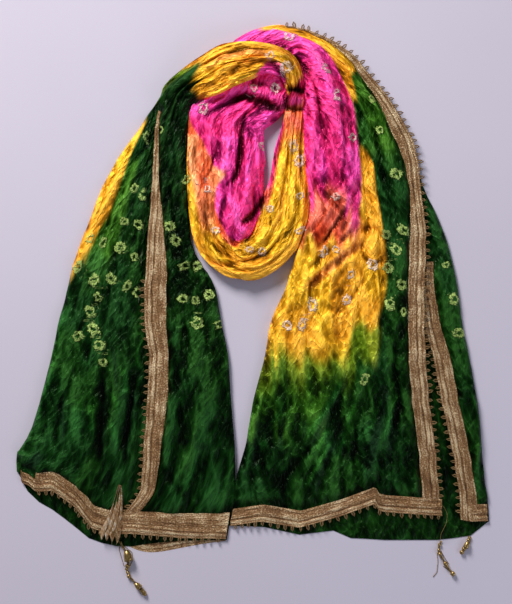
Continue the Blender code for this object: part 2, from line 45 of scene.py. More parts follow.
# one row for each place along the stole, from the left end over the loop to the right end:
# the outline's two sides, the underside's lift, how high the top layer stands, its flat shelf,
# how far it is bunched, the side folds, where the two flaps end, and the ribbon's width
placeNames = "lx ly rx ry lift high shelf low bunch inset tuck under over band".split()
places = np.array([
    (17, 471, 227.5, 538, 0, 2.6, 0, 0, 0, 0, 2, 0.50, 0.51, 17),
    (17, 455, 231.3, 514, 0, 2.6, 0, 0, 0, 0, 2, 0.50, 0.53, 15),
    (23, 446, 235, 490, 0, 2.6, 0, 0, 0, 0, 2, 0.57, 0.572, 14),
    (33, 428, 234, 440, 0, 2.6, 0, 0, 0, 0, 2, 0.62, 0.552, 18),
    (43, 395, 230.5, 395, 0, 2.8, 0, 0, 0, 0, 2, 0.65, 0.556, 20.5),
    (52, 358, 227.5, 355, 0, 3.0, 0, 0, 0, 0, 2, 0.67, 0.555, 19),
    (61, 318, 220.5, 320, 0, 3.2, 0, 0, 0, 0, 3, 0.67, 0.522, 22),
    (70, 282, 214, 286, 0, 3.6, 0, 0, 0, 0, 3, 0.69, 0.517, 22),
    (80, 247, 202, 266, 0, 4.2, 0, 0, 0.05, 0, 3, 0.73, 0.545, 20),
    (92, 216, 192, 246, 0, 5.0, 0, 0, 0.1, 0, 4, 0.74, 0.565, 17),
    (104.5, 185, 189, 222, 0, 6.0, 0, 0, 0.2, 0, 4, 0.72, 0.55, 12.5),
    (117, 162, 188, 196, 0, 7.5, 0, 0, 0.3, 0, 5, 0.66, 0.50, 7.5),
    (129, 144, 188, 172, 0, 9.0, 0, 0, 0.4, 1, 5, 0.62, 0.41, 6),
    (140.5, 127, 188, 150, 0, 10.5, 0, 0, 0.5, 2, 5, 0.60, 0.30, 4.5),
    (150, 110, 189, 131, 0, 12.0, 0, 0, 0.7, 3, 5, 0.62, 0.19, 3),
    (158, 95, 190.5, 116, 0, 13.0, 0, 0, 0.9, 4, 5, 0.70, 0.10, 6),
    (167, 82, 194, 106, 2, 13.0, 0, 0, 1, 6, 6, 0.80, 0.02, 6),
    (183, 69, 203, 99, 7, 13.0, 0, 0, 1, 7, 6, 0.85, 0, 6),
    (200, 57, 215, 96, 14, 12.5, 0, 0, 1, 7, 6, 0.85, 0, 6),
    (221, 45, 232, 88, 18, 12.5, 0, 0, 1, 7, 6, 0.85, 0, 6),
    (245, 42, 250, 80, 18, 12.5, 0, 0, 1, 7, 6, 0.85, 0, 6),
    (268, 44, 266, 74, 18, 12.5, 0, 0, 1, 7, 6, 0.85, 0, 6),
    (286, 50, 280, 78, 17, 12.0, 0, 0, 1, 6, 6, 0.85, 0, 6),
    (297, 60, 286, 88, 12, 11.5, 0, 0, 1, 5, 5, 0.85, 0, 6),
    (303, 76, 288, 97, 5, 11.5, 0, 0, 1, 4, 4, 0.80, 0, 4),
    (304.5, 96, 286, 108, 0.5, 15.0, 0, 0, 1, 4, 4, 0.80, 0, 4),
    (304.5, 119, 284, 120, 0, 14.0, 0, 0, 1, 5, 4, 0.80, 0, 4),
    (305, 148, 275.5, 149, 0, 14.0, 0, 0, 1, 6, 5, 0.85, 0, 6),
    (307.5, 180, 270, 180, 0, 15.0, 0, 0, 1, 7, 6, 0.85, 0, 6),
    (309, 208, 262.5, 199, 0, 16.0, 0, 0, 1, 8, 6, 0.85, 0, 6),
    (304.5, 231, 259, 215, 0, 17.0, 0, 0, 1, 8, 6, 0.85, 0, 6),
    (291, 256, 255, 228, 0, 18.0, 0, 0, 1, 8, 6, 0.85, 0, 6),
    (271, 273, 250, 236, 0, 18.0, 0, 0, 1, 8, 6, 0.85, 0, 6),
    (250, 280, 246, 241, 0, 18.0, 0, 0, 1, 8, 6, 0.85, 0, 6),
    (228, 276, 245, 240, 0, 18.0, 0.15, 13, 1, 8, 6, 0.85, 0, 6),
    (208, 263, 248, 236, 0, 19.0, 0.30, 13, 1, 8, 6, 0.85, 0, 6),
    (195, 244, 255, 230, 0, 21.0, 0.36, 12, 1, 8, 6, 0.85, 0, 6),
    (189.5, 217, 261.5, 214, 0, 23.0, 0.38, 12, 1, 8, 7, 0.85, 0, 6),
    (187.5, 189, 263, 190, 0, 24.0, 0.38, 12, 1, 8, 7, 0.85, 0, 6),
    (187, 160, 264, 163, 0, 23.0, 0.36, 12, 1, 8, 7, 0.85, 0, 6),
    (188, 138, 263, 141, 0, 20.0, 0.33, 11, 1, 8, 6, 0.85, 0, 6),
    (187, 117, 264, 130, 0, 16.0, 0.28, 10, 1, 8, 6, 0.85, 0, 6),
    (195, 101, 270, 126, 0, 13.0, 0.2, 9, 1, 7, 6, 0.85, 0, 6),
    (209, 87, 277, 121, 0, 12.0, 0.1, 9, 1, 7, 6, 0.85, 0, 6),
    (223, 68, 284, 113, 0, 12.0, 0, 0, 1, 7, 6, 0.85, 0, 6),
    (230, 46, 288, 103, 0, 12.0, 0, 0, 1, 7, 6, 0.85, 0, 6),
    (247, 33.5, 290, 92, 0, 12.0, 0, 0, 1, 6, 6, 0.85, 0, 6),
    (267, 27, 291, 79, 0, 11.5, 0, 0, 1, 5, 6, 0.85, 0, 1.5),
    (283, 26, 293, 66, 0, 12.0, 0.20, 5.2, 1, 4, 5, 0.85, 0, 1.5),
    (304, 29, 297, 61, 0, 15.0, 0.34, 5.2, 1, 4, 5, 0.80, 0, 1.8),
    (329, 39, 301, 67, 0, 18.0, 0.38, 5.2, 1, 4, 5, 0.80, 0, 3.5),
    (354, 56, 302.5, 80, 0, 21.0, 0.44, 5.2, 1, 4, 6, 0.80, 0, 6.5),
    (374, 78, 303, 93, 0, 24.0, 0.46, 5.2, 1, 4, 6, 0.80, 0.02, 9.5),
    (396.5, 105, 303, 109, 0, 25.0, 0.495, 5.2, 1, 4, 7, 0.75, 0.035, 13),
    (410.5, 135, 303.5, 134, 0, 25.0, 0.505, 5.2, 1, 4, 7, 0.70, 0.0, 18),
    (418.5, 163, 305.5, 162, 0, 24.0, 0.513, 5.4, 1, 3, 7, 0.60, 0.0, 14),
    (424.5, 190, 308.5, 190, 0, 22.0, 0.54, 5.4, 0.9, 0, 7, 0.40, 0.027, 11),
    (436, 217, 309.5, 214, 0, 19.0, 0.57, 5.2, 0.75, 0, 6, 0.28, 0.093, 14),
    (447, 247, 298, 250, 0, 14.5, 0.56, 5.0, 0.6, 0, 5, 0.21, 0.138, 17),
    (455.5, 284, 287, 285, 0, 9.5, 0.50, 4.6, 0.4, 0, 4, 0.225, 0.187, 16),
    (461, 322, 272, 320, 0, 6.0, 0.40, 4.0, 0.2, 0, 3, 0.196, 0.192, 16),
    (469, 362, 264, 360, 0, 4.2, 0.2, 3.6, 0.1, 0, 3, 0.169, 0.211, 17),
    (476, 400, 253.5, 400, 0, 3.2, 0, 0, 0, 0, 2, 0.158, 0.213, 17),
    (480, 440, 247.5, 438, 0, 2.8, 0, 0, 0, 0, 2, 0.128, 0.197, 17),
    (484, 478, 237, 476, 0, 2.6, 0, 0, 0, 0, 2, 0.109, 0.188, 17),
    (488, 504, 231.6, 509, 0, 2.6, 0, 0, 0, 0, 2, 0.110, 0.19, 17),
    (489, 521, 229, 526, 0, 2.6, 0, 0, 0, 0, 2, 0.109, 0.18, 17),
])
lastPlace = len(places) - 1

# how far each hem hangs below its straight line: share of the width, flaps, bottom layer
leftHem = np.array([
    (0.0, 0, 0), (0.02, 2, 3), (0.035, 10, 11), (0.065, 10, 12), (0.08, 11, 20), (0.11, 14, 22),
    (0.18, 8, 24), (0.30, 17, 33),
    (0.40, 32, 42), (0.50, 31, 43), (0.58, 25, 39), (0.68, 20, 28), (0.80, 14, 17), (1.0, 1, 2),
])
rightHem = np.array([
    (0.0, 0, 0), (0.07, 0, 14), (0.18, -6, 18), (0.40, -11, 17), (0.426, -13, 17), (0.437, -19.5, 16),
    (0.556, -9, 14), (0.58, -7, 6), (0.73, 3, 10), (0.876, -4, 1), (1.0, 0, 0),
])

# main lengthwise folds: first and last place, share of the width at both ends, width, rise in mm
mainFolds = np.array([
    (0, 11, 0.13, 0.20, 0.10, 3.0), (0, 9, 0.30, 0.36, 0.09, 2.4), (1, 12, 0.44, 0.40, 0.07, 2.0),
    (0, 10, 0.70, 0.76, 0.10, 3.0), (2, 13, 0.88, 0.86, 0.09, 2.6),
    (13, 24, 0.28, 0.34, 0.12, 3.2), (14, 25, 0.66, 0.62, 0.13, 3.0),
    (25, 37, 0.36, 0.30, 0.13, 3.0), (26, 36, 0.72, 0.70, 0.13, 3.4),
    (35, 44, 0.58, 0.52, 0.10, 2.6), (34, 46, 0.84, 0.80, 0.11, 3.0),
    (38, 48, 0.22, 0.30, 0.12, 2.2), (47, 58, 0.66, 0.72, 0.09, 3.0),
    (48, 60, 0.88, 0.90, 0.09, 2.6), (53, 62, 0.36, 0.34, 0.08, 1.6),
    (56, 66, 0.52, 0.44, 0.09, 3.2), (55, 66, 0.74, 0.66, 0.09, 3.0),
    (57, 66, 0.90, 0.88, 0.08, 2.4), (60, 66, 0.32, 0.28, 0.06, 1.8),
])

# creases placed from above: rise in mm (below 0 for a valley), half width in squares,
# then the points that the crease runs through
creases = (
    # the arch over the loop
    (2.4, 5, ((188, 82), (208, 63), (240, 49), (269, 51), (292, 63))),
    (1.8, 4, ((206, 88), (226, 72), (252, 62), (280, 66))),
    (-1.8, 3, ((196, 76), (222, 60), (246, 55), (276, 57))),
    (-1.6, 3, ((212, 92), (232, 78), (248, 62))),
    # the magenta folds inside the loop
    (3.0, 5, ((192, 113), (211, 99), (240, 88), (265, 95), (283, 104))),
    (-3.4, 4, ((196, 124), (222, 107), (247, 99), (262, 109), (283, 112))),
    (2.2, 4, ((236, 76), (256, 70), (276, 80), (288, 92))),
    (-2.4, 3, ((246, 84), (264, 86), (284, 94))),
    (-4.2, 4, ((247, 108), (243, 128), (241, 156), (236, 178), (222, 193))),
    (2.6, 5, ((232, 112), (230, 140), (228, 166), (218, 186))),
    (2.6, 6, ((256, 130), (256, 160), (250, 190), (240, 222))),
    (2.4, 3, ((217, 192), (224, 198), (219, 214))),
    (-2.6, 3, ((230, 190), (224, 204), (222, 222), (234, 236))),
    (-2.0, 3, ((262, 196), (254, 212), (240, 226))),
    (1.8, 3, ((203, 120), (214, 136), (206, 164))),
    (-1.6, 3, ((212, 118), (220, 140), (212, 170), (200, 190))),
    # the knot between the arch and the inner strand
    (3.2, 6, ((291, 102), (297, 101), (303, 103))),
    (-4.0, 4, ((286, 90), (296, 91), (304, 94))),
    (-4.0, 4, ((286, 110), (296, 112), (304, 111))),
    # round the bottom of the loop
    (2.2, 5, ((195, 236), (207, 262), (240, 276), (270, 266), (296, 244), (304, 214))),
    (-2.2, 3, ((196, 206), (206, 240), (236, 264), (266, 256), (288, 232), (296, 200))),
    (2.0, 4, ((206, 200), (214, 230), (236, 250), (262, 240), (280, 214), (286, 176))),
    (-1.6, 3, ((212, 214), (224, 240), (246, 252), (268, 232), (278, 200))),
    (1.6, 4, ((294, 120), (290, 150), (292, 180), (284, 220))),
    (-1.6, 3, ((300, 124), (299, 160), (300, 196))),
    # the outer band
    (2.6, 5, ((240, 42), (265, 35), (292, 41), (313, 58), (328, 82), (334, 122))),
    (-2.6, 3, ((262, 44), (288, 50), (304, 68), (318, 96), (322, 140))),
    (2.4, 4, ((303, 66), (311, 82), (314, 120), (311, 163), (311, 210))),
    (-2.2, 3, ((324, 70), (340, 104), (344, 150), (340, 190))),
    (2.0, 4, ((346, 84), (354, 118), (356, 160), (352, 200))),
    (2.6, 4, ((358, 172), (342, 190), (331, 206), (318, 230))),
    (-2.4, 3, ((362, 182), (346, 204), (334, 222), (322, 246))),
    (2.2, 4, ((360, 230), (338, 256), (312, 274), (296, 296))),
    (-2.2, 3, ((352, 228), (330, 250), (306, 270))),
    (2.4, 6, ((372, 232), (376, 246), (370, 256))),
    (-2.4, 3, ((362, 238), (360, 254), (372, 266), (384, 258))),
    (2.0, 4, ((368, 176), (374, 200), (378, 222))),
    (-1.8, 2.5, ((362, 226), (370, 230), (379, 229))),
    (-2.4, 3, ((244, 77), (252, 69), (262, 66), (274, 68), (284, 77))),
    (-3.0, 4, ((226, 103), (246, 98), (262, 104), (280, 110))),
    (3.0, 5, ((292, 100), (297, 101), (302, 103))),
    (2.6, 3, ((352, 194), (338, 215), (322, 242))),
    (-2.8, 3, ((349, 205), (334, 228), (316, 250))),
    (2.6, 3, ((357, 212), (345, 232), (333, 247))),
    (-2.4, 2.5, ((341, 194), (326, 212), (313, 232))),
    (-1.1, 4, ((365, 240), (345, 254), (328, 268), (303, 290))),
    (2.4, 4, ((360, 252), (340, 268), (318, 288))),
    (-2.6, 4, ((266, 193), (259, 207), (247, 221), (241, 227))),
    (2.6, 5, ((226, 196), (236, 210), (238, 226), (246, 236))),
    (1.8, 5, ((372, 106), (384, 140), (394, 176), (398, 210))),
    (-1.8, 4, ((366, 118), (376, 150), (384, 182))),
    # the right end
    (1.8, 4, ((352, 262), (338, 286), (316, 304), (300, 330))),
    (-1.8, 3, ((366, 276), (350, 300), (330, 318))),
    (1.8, 4, ((356, 300), (350, 336), (340, 366), (330, 400))),
    (3.0, 6, ((345, 372), (331, 408), (316, 444), (296, 486))),
    (-2.8, 4, ((351, 370), (338, 404), (318, 440), (284, 476), (262, 500))),
    (2.6, 5, ((360, 388), (345, 420), (326, 456), (310, 492))),
    (-2.4, 4, ((356, 396), (338, 430), (322, 470))),
    (2.6, 4, ((366, 384), (372, 404), (366, 430), (372, 452))),
    (2.2, 4, ((370, 382), (388, 396), (392, 420), (376, 452), (374, 486))),
    (-2.2, 4, ((364, 396), (356, 424), (354, 460))),
    (-2.2, 4, ((396, 330), (394, 366), (400, 404), (390, 440))),
    (2.0, 5, ((300, 390), (290, 420), (276, 452), (262, 480))),
    (-1.8, 4, ((282, 378), (272, 410), (260, 446))),
    (1.8, 4, ((268, 372), (258, 410), (250, 450), (242, 490))),
    (1.8, 4, ((404, 420), (400, 450), (404, 478))),
    # the left end
    (-2.4, 5, ((64, 384), (58, 416), (56, 452))),
    (2.2, 6, ((78, 366), (74, 404), (78, 444), (84, 474))),
    (-2.8, 5, ((104, 366), (101, 404), (99, 440), (104, 474))),
    (2.2, 5, ((116, 340), (118, 380), (112, 420), (116, 462))),
    (-2.4, 4, ((136, 364), (131, 400), (126, 440), (124, 470))),
    (1.8, 5, ((84, 280), (78, 320), (68, 360), (62, 392))),
    (-1.8, 4, ((98, 300), (92, 340), (86, 376))),
    (1.8, 4, ((116, 262), (112, 300), (120, 330))),
    (-2.6, 5, ((176, 340), (176, 372), (180, 410), (184, 448))),
    (2.4, 6, ((196, 340), (202, 380), (206, 420), (200, 452))),
    (2.2, 5, ((168, 390), (170, 430), (164, 466))),
    (-2.8, 4, ((160, 464), (172, 480), (190, 502))),
    (2.4, 4, ((202, 448), (190, 462), (178, 474), (170, 492))),
    (-2.2, 4, ((212, 452), (200, 472), (188, 486))),
    (2.0, 4, ((222, 460), (214, 484), (206, 506))),
    (1.8, 4, ((182, 300), (190, 330), (196, 352))),
    (-2.0, 4, ((170, 180), (174, 220), (182, 256), (190, 286))),
    (2.0, 4, ((178, 140), (180, 180), (184, 220))),
)


def smooth(value):
    value = np.clip(value, 0, 1)
    return value * value * (3 - 2 * value)


def layoutPlan(x, y):
    # squares of the layout as metres in the plan
    return np.stack([(x - middleX) * squareSize, (middleY - y) * squareSize], -1)


def layoutPoint(x, y, z=0.0):
    return np.array([*layoutPlan(x, y), z])


def runsAlong(line):
    # the length of a line of points up to each of them
    return np.concatenate([[0], np.cumsum(np.linalg.norm(np.diff(line, axis=0), axis=1))])


def placesAt(t):
    # the table's columns at any distance along the stole, the outline as a smooth curve
    k = np.minimum(t.astype(int), lastPlace - 1)
    s = (t - k)[..., None]
    a, b, c, d = (places[np.clip(k + step, 0, lastPlace)] for step in (-1, 0, 1, 2))
    found = b + (c - b) * s
    curved = 0.5 * (2 * b + (c - a) * s + (2 * a - 5 * b + 4 * c - d) * s**2
                    + (3 * b - a - 3 * c + d) * s**3)
    found[..., :4] = curved[..., :4]
    return dict(zip(placeNames, np.moveaxis(found, -1, 0)))


def foldRise(t, share):
    total = np.zeros(np.broadcast(t, share).shape)
    for first, last, start, end, wide, rise in mainFolds:
        run = (t - first) / (last - first)
        off = np.abs(share - (start + (end - start) * run)) / wide
        ends = np.ones_like(run)
        if first > 0:
            ends = ends * smooth(run * 4)
        if last < lastPlace:
            ends = ends * smooth((1 - run) * 4)
        inside = (run >= 0) & (run <= 1) & (off < 1)
        total += inside * 0.001 * rise * ends * (0.5 + 0.5 * np.cos(np.pi * np.clip(off, 0, 1)))
    return total


crownLook = {
    # where one strand ducks under: first place and softness, last place and softness
    "tucked": (34.2, 1.0, 41.5, 1.5),
    # height of the rounded sides in metres, their share of the width and the least of it by a shelf
    "foot": 0.0042, "side": 0.28, "leastSide": 0.4,
    # the step from the shelf to the top, the fall at the far side and how much more where tucked
    "step": (0.04, 0.16), "fall": (0.42, 0.30), "fallFrom": (0.72, 0.28),
}


def crown(p, share, t):
    # how high the top layer stands over the bottom one
    start, startSoft, end, endSoft = crownLook["tucked"]
    tucked = smooth((t - start) / startSoft) * smooth((end - t) / endSoft)
    high = 0.001 * p["high"]
    low = np.minimum(0.001 * p["low"], high)
    foot = np.minimum(high, crownLook["foot"])
    rise = crownLook["side"] * np.maximum(1 - p["shelf"], crownLook["leastSide"])
    shelved = p["shelf"] > 0.01
    side = 1 - (1 - np.minimum(share / rise, 1)) ** 2
    sideShelf = 1 - (1 - np.minimum(share / np.minimum(rise, np.maximum(p["shelf"], 0.01)), 1)) ** 2
    step = smooth((share - p["shelf"] + crownLook["step"][0]) / crownLook["step"][1])
    full = np.where(shelved, low + (high - low) * step, high)
    side = np.where(shelved, sideShelf, side)
    fall = smooth((share - crownLook["fallFrom"][0]) / crownLook["fallFrom"][1])
    shoulder = 1 - (crownLook["fall"][0] + crownLook["fall"][1] * tucked) * p["bunch"] * fall
    rounded = (foot + (full - foot) * side) * shoulder
    rounded = np.maximum(rounded, np.minimum(full, foot))
    body = rounded * p["bunch"] + full * (1 - p["bunch"])
    return np.where((p["bunch"] == 0) & (p["shelf"] == 0), high, body)


layerStep, ribbonStep, clothThick = 0.0026, 0.0040, 0.0016
# where two flaps meet or overlap, and how far the upper one is carried: distance and softness
flapMeet, flapCarry = (0.0185, 0.008), (0.072, 0.036)
hemPlaces = 3  # over how many places a hem's line is drawn back to the straight one
viewAxis, viewHeight = np.array([0.0045, 0.0112]), 1.9  # what stands high looks wider from there


def clothShape(t, across, layer):
    # points of the sheet, before its creases: across is the distance from the left outline
    p = placesAt(t)
    left, right = layoutPlan(p["lx"], p["ly"]), layoutPlan(p["rx"], p["ry"])
    width = np.linalg.norm(right - left, axis=-1)
    way = (right - left) / width[..., None]
    share = np.clip(across / width, 0, 1)
    bottom = 0.001 * p["lift"] + clothThick / 2
    underEnd, overEnd = p["under"] * width, p["over"] * width
    overlap = smooth((underEnd - overEnd + flapMeet[0]) / flapMeet[1])
    free = crown(p, share, t) + foldRise(t, share)
    underHigh = bottom + np.maximum(layerStep, free * (1 - overlap))
    covered = overlap * smooth((underEnd + flapCarry[0] - across) / flapCarry[1])
    overHigh = bottom + free + np.maximum(underHigh + ribbonStep - bottom - free, 0) * covered
    height = {"under": underHigh, "over": overHigh, "bottom": bottom}[layer]
    isLeft = t < lastPlace / 2
    column = 2 if layer == "bottom" else 1
    drop = np.where(isLeft, np.interp(share, leftHem[:, 0], leftHem[:, column]),
                    np.interp(share, rightHem[:, 0], rightHem[:, column]))
    ramp = 1 - smooth((np.minimum(t, lastPlace - t) - 1) / hemPlaces)
    down = np.stack([way[..., 1], -way[..., 0]], -1) * np.where(isLeft, 1, -1)[..., None]
    plan = left + way * across[..., None] + down * (drop * ramp * squareSize)[..., None]
    plan = viewAxis + (plan - viewAxis) * (1 - height / viewHeight)[..., None]
    return np.concatenate([plan, height[..., None]], -1)


def widthAt(t):
    p = placesAt(t)
    return np.hypot(p["rx"] - p["lx"], p["ry"] - p["ly"]) * squareSize, p


def nearRoute(plan, wide, route):
    # distance from a line seen from above, 0 on it and 1 at its half width, and how full it is
    points = np.array([layoutPlan(x, y) for x, y in route])
    runs = runsAlong(points)
    best = np.full(plan.shape[:-1], 9.0)
    place = np.zeros(plan.shape[:-1])
    for k in range(len(points) - 1):
        way = points[k + 1] - points[k]
        share = np.clip(((plan - points[k]) @ way) / (way @ way), 0, 1)
        away = np.linalg.norm(plan - points[k] - share[..., None] * way, axis=-1)
        near = away < best
        best = np.where(near, away, best)
        place = np.where(near, (runs[k] + share * (runs[k + 1] - runs[k])) / runs[-1], place)
    off = np.clip(best / (wide * squareSize), 0, 1)
    return off, smooth(place * 4 + 0.1) * smooth((1 - place) * 4 + 0.1)

creaseHeight = 0.00135  # metres of height for a rise of 1


def creaseField(plan):
    # height of the listed creases over each point seen from above
    total = np.zeros(plan.shape[:-1])
    for rise, wide, route in creases:
        off, ends = nearRoute(plan, wide, route)
        total += creaseHeight * rise * ends * (1 - off) ** 1.3 * (1 + 0.5 * off)
    return total


def valueNoise(u, v, stepU, stepV, seed):
    # smooth noise from 0 to 1 on a stretched lattice of its own
    lattice = np.random.default_rng(seed).random((257, 257))
    a, b = u / stepU + 1000.5, v / stepV + 1000.5
    i, j = np.floor(a).astype(int), np.floor(b).astype(int)
    x, y = smooth(a - i), smooth(b - j)
    i, j = i % 256, j % 256
    low = lattice[i, j] * (1 - x) + lattice[i + 1, j] * x
    high = lattice[i, j + 1] * (1 - x) + lattice[i + 1, j + 1] * x
    return low * (1 - y) + high * y


crinkle = {
    "warp": 0.012, "warpLong": 0.09,
    "levels": ((0.019, 0.085, 3.2), (0.0095, 0.038, 1.9), (0.0060, 0.020, 0.8)),
}


def crinkleField(u, v):
    # lengthwise pleats with sharp crests, as a wrung and dried silk keeps them
    shifted = u + crinkle["warp"] * (valueNoise(u, v, 0.05, crinkle["warpLong"], 3) - 0.5) * 2
    total = np.zeros(u.shape)
    for seed, (stepU, stepV, rise) in enumerate(crinkle["levels"]):
        noise = valueNoise(shifted, v, stepU, stepV, 11 + seed)
        total += 0.001 * rise * (1 - np.abs(2 * noise - 1)) ** 1.5
    return total


def linear(code):
    # an sRGB hex colour as linear numbers
    parts = [int(code[i:i + 2], 16) / 255 for i in (1, 3, 5)]
    return [c / 12.92 if c <= 0.04045 else ((c + 0.055) / 1.055) ** 2.4 for c in parts]


def meshFrom(shape, name):
    mesh = bpy.data.meshes.new(name)
    shape.to_mesh(mesh)
    shape.free()
    return mesh


def linkedPiece(name, data):
    piece = bpy.data.objects.new(name, data)
    bpy.context.scene.collection.objects.link(piece)
    return piece


def ringAt(shape, matrix, radius, segments, cap=False):
    # the edges of a new ring
    made = bmesh.ops.create_circle(shape, segments=segments, radius=radius, cap_ends=cap,
                                   matrix=matrix)
    return [edge for edge in shape.edges if all(v in made["verts"] for v in edge.verts)]


def bridgeRings(shape, rings):
    for before, after in zip(rings, rings[1:]):
        bmesh.ops.bridge_loops(shape, edges=before + after)


def gridPiece(name, points, uvs):
    # an open sheet: a grid whose vertices are laid on the points
    rows, columns = points.shape[:2]
    shape = bmesh.new()
    bmesh.ops.create_grid(shape, x_segments=columns - 1, y_segments=rows - 1, size=1)
    mesh = meshFrom(shape, name)
    flat = np.empty(len(mesh.vertices) * 3, np.float32)
    mesh.vertices.foreach_get("co", flat)
    flat = flat.reshape(-1, 3)
    column = np.rint((flat[:, 0] + 1) / 2 * (columns - 1)).astype(int)
    row = np.rint((flat[:, 1] + 1) / 2 * (rows - 1)).astype(int)
    mesh.vertices.foreach_set("co", points[row, column].astype(np.float32).ravel())
    corners = np.empty(len(mesh.loops), np.int32)
    mesh.loops.foreach_get("vertex_index", corners)
    layer = mesh.uv_layers.new(name="cloth")
    layer.data.foreach_set("uv", uvs[row[corners], column[corners]].astype(np.float32).ravel())
    mesh.update()
    mesh.shade_smooth()
    return linkedPiece(name, mesh), row, column


def addColour(piece, name, values):
    # a colour for each vertex, opaque
    made = piece.data.attributes.new(name, "FLOAT_COLOR", "POINT")
    opaque = np.concatenate([values, np.ones((len(values), 1))], 1)
    made.data.foreach_set("color", opaque.astype(np.float32).ravel())


def faceUp(piece, chosen):
    # turns the sheet over if the chosen faces look down
    normals = np.empty(len(piece.data.polygons) * 3, np.float32)
    piece.data.polygons.foreach_get("normal", normals)
    if normals.reshape(-1, 3)[chosen, 2].mean() < 0:
        piece.data.flip_normals()
def addNode(tree, kind, settings=None, links=None):
    # one node, with its settings by name and what feeds its sockets
    node = tree.nodes.new(kind)
    for key, value in (settings or {}).items():
        if isinstance(key, int) or key in node.inputs.keys():
            node.inputs[key].default_value = value
        else:
            setattr(node, key, value)
    for key, source in (links or {}).items():
        tree.links.new(source, node.inputs[key])
    return node


def newMaterial(name):
    made = bpy.data.materials.new(name)
    made.use_nodes = True
    tree = made.node_tree
    return made, tree, tree.nodes["Principled BSDF"]


def mathNode(tree, operation, *values, clamp=False):
    # a sum, product or power of sockets and of constants, which are floats
    settings, links = {"operation": operation, "use_clamp": clamp}, {}
    for place, value in enumerate(values):
        (settings if isinstance(value, float) else links)[place] = value
    return addNode(tree, "ShaderNodeMath", settings, links).outputs[0]


def noiseNode(tree, vector, scale, detail, rough=0.5, bend=0.0):
    settings = {"Scale": scale, "Detail": detail, "Roughness": rough, "Distortion": bend}
    return addNode(tree, "ShaderNodeTexNoise", settings, {"Vector": vector})


def rangeNode(tree, value, source, target=(0.0, 1.0), kind="LINEAR"):
    settings = {"interpolation_type": kind, "From Min": source[0], "From Max": source[1],
                "To Min": target[0], "To Max": target[1]}
    return addNode(tree, "ShaderNodeMapRange", settings, {"Value": value}).outputs[0]


def stretchedNode(tree, vector, size, turn=0.0, shift=(0, 0)):
    # the cloth's own metres, turned and divided by a length each way
    settings = {"vector_type": "TEXTURE", "Rotation": (0, 0, turn), "Scale": (*size, 1),
                "Location": (*shift, 0)}
    return addNode(tree, "ShaderNodeMapping", settings, {"Vector": vector}).outputs[0]


def rampNode(tree, value, stops):
    # a ramp through colours at their places
    ramp = addNode(tree, "ShaderNodeValToRGB", links={"Fac": value})
    elements = ramp.color_ramp.elements
    while len(elements) < len(stops):
        elements.new(0.5)
    for element, (at, colour) in zip(elements, stops):
        element.position = at
        element.color = (*colour, 1)
    return ramp.outputs[0]


def addBump(tree, shader, height, strength, distance):
    bump = addNode(tree, "ShaderNodeBump", {"Strength": strength, "Distance": distance},
                   {"Height": height})
    tree.links.new(bump.outputs[0], shader.inputs["Normal"])


silkLook = {
    "rough": 0.36, "gloss": 0.55, "bump": 0.0072, "fine": 1.6,
    # turn, width and length of a crease in metres, weight, and 1 for a sharp crest
    "creases": ((0.34, 0.0130, 0.036, 1.0, 1), (-0.30, 0.0110, 0.034, 0.9, 1),
                (0.04, 0.0220, 0.110, 1.0, 0), (-0.60, 0.0070, 0.020, 0.35, 0),
                (0.08, 0.0055, 0.022, 0.42, 1)),
    # the same for the flat facets between creases
    "facets": ((0.16, 0.0170, 0.044, 0.26), (-0.38, 0.0080, 0.020, 0.13)),
    # painted light and shade: the colour's scale and gamma from valleys to crests, over this span of
    # fold height, with fine as the fine creases' weight in it
    "paintedLightAndShade": (0.17, 2.10), "deep": (1.50, 0.88), "reach": (0.22, 1.30),
    # the gloss takes the dye's own colour, times the first and plus the second
    "tint": ((3.5, 3.5, 3.5), (0.05, 0.05, 0.05)),
}
# the pale ring of a tied dot, in metres from its middle
ringLook = {
    "square": 2.8, "wobble": 190.0, "shift": (0.0090, -0.0046),
    "inner": (0.0014, 0.0032), "outer": (0.0068, 0.0054), "pucker": 0.3,
    # the ring's speckle, and its painted shade: fainter in the folds' valleys and stronger on their
    # crests
    "speckle": 470.0, "patchy": ((0.38, 0.58), (0.12, 1.15)), "paintedShadeOnRing": ((0.0, 0.8), (0.55, 1.3)),
}


def creaseNoise(tree, uv, settings, shift):
    # V-shaped creases on a stretched and turned lattice
    turn, wide, long, weight, crest = settings
    placed = stretchedNode(tree, uv, (wide, long), turn, (shift, shift * 0.7))
    noise = noiseNode(tree, placed, 1.0, 1.0, 0.4, 0.35)
    size = mathNode(tree, "ABSOLUTE", mathNode(tree, "SUBTRACT", noise.outputs["Fac"], 0.5))
    sign = -1 if crest else 1
    return mathNode(tree, "MULTIPLY_ADD", mathNode(tree, "POWER", size, 0.62),
                    sign * 0.74 * weight, sign * -0.20 * weight)


def facetNoise(tree, uv, settings, shift):
    # flat facets that meet in sharp creases: the distance to the nearest of scattered points
    turn, wide, long, weight = settings
    placed = stretchedNode(tree, uv, (wide, long), turn, (shift, shift * 0.4))
    bent = noiseNode(tree, placed, 0.8, 1.0)
    pushed = addNode(tree, "ShaderNodeVectorMath", {"operation": "MULTIPLY_ADD", 1: (0.9, 0.9, 0)},
                     {0: bent.outputs["Color"], 2: placed})
    cells = addNode(tree, "ShaderNodeTexVoronoi",
                    {"voronoi_dimensions": "2D", "Scale": 1.0, "Randomness": 1.0},
                    {"Vector": pushed.outputs[0]})
    return mathNode(tree, "MULTIPLY_ADD", cells.outputs["Distance"], weight, -0.45 * weight)


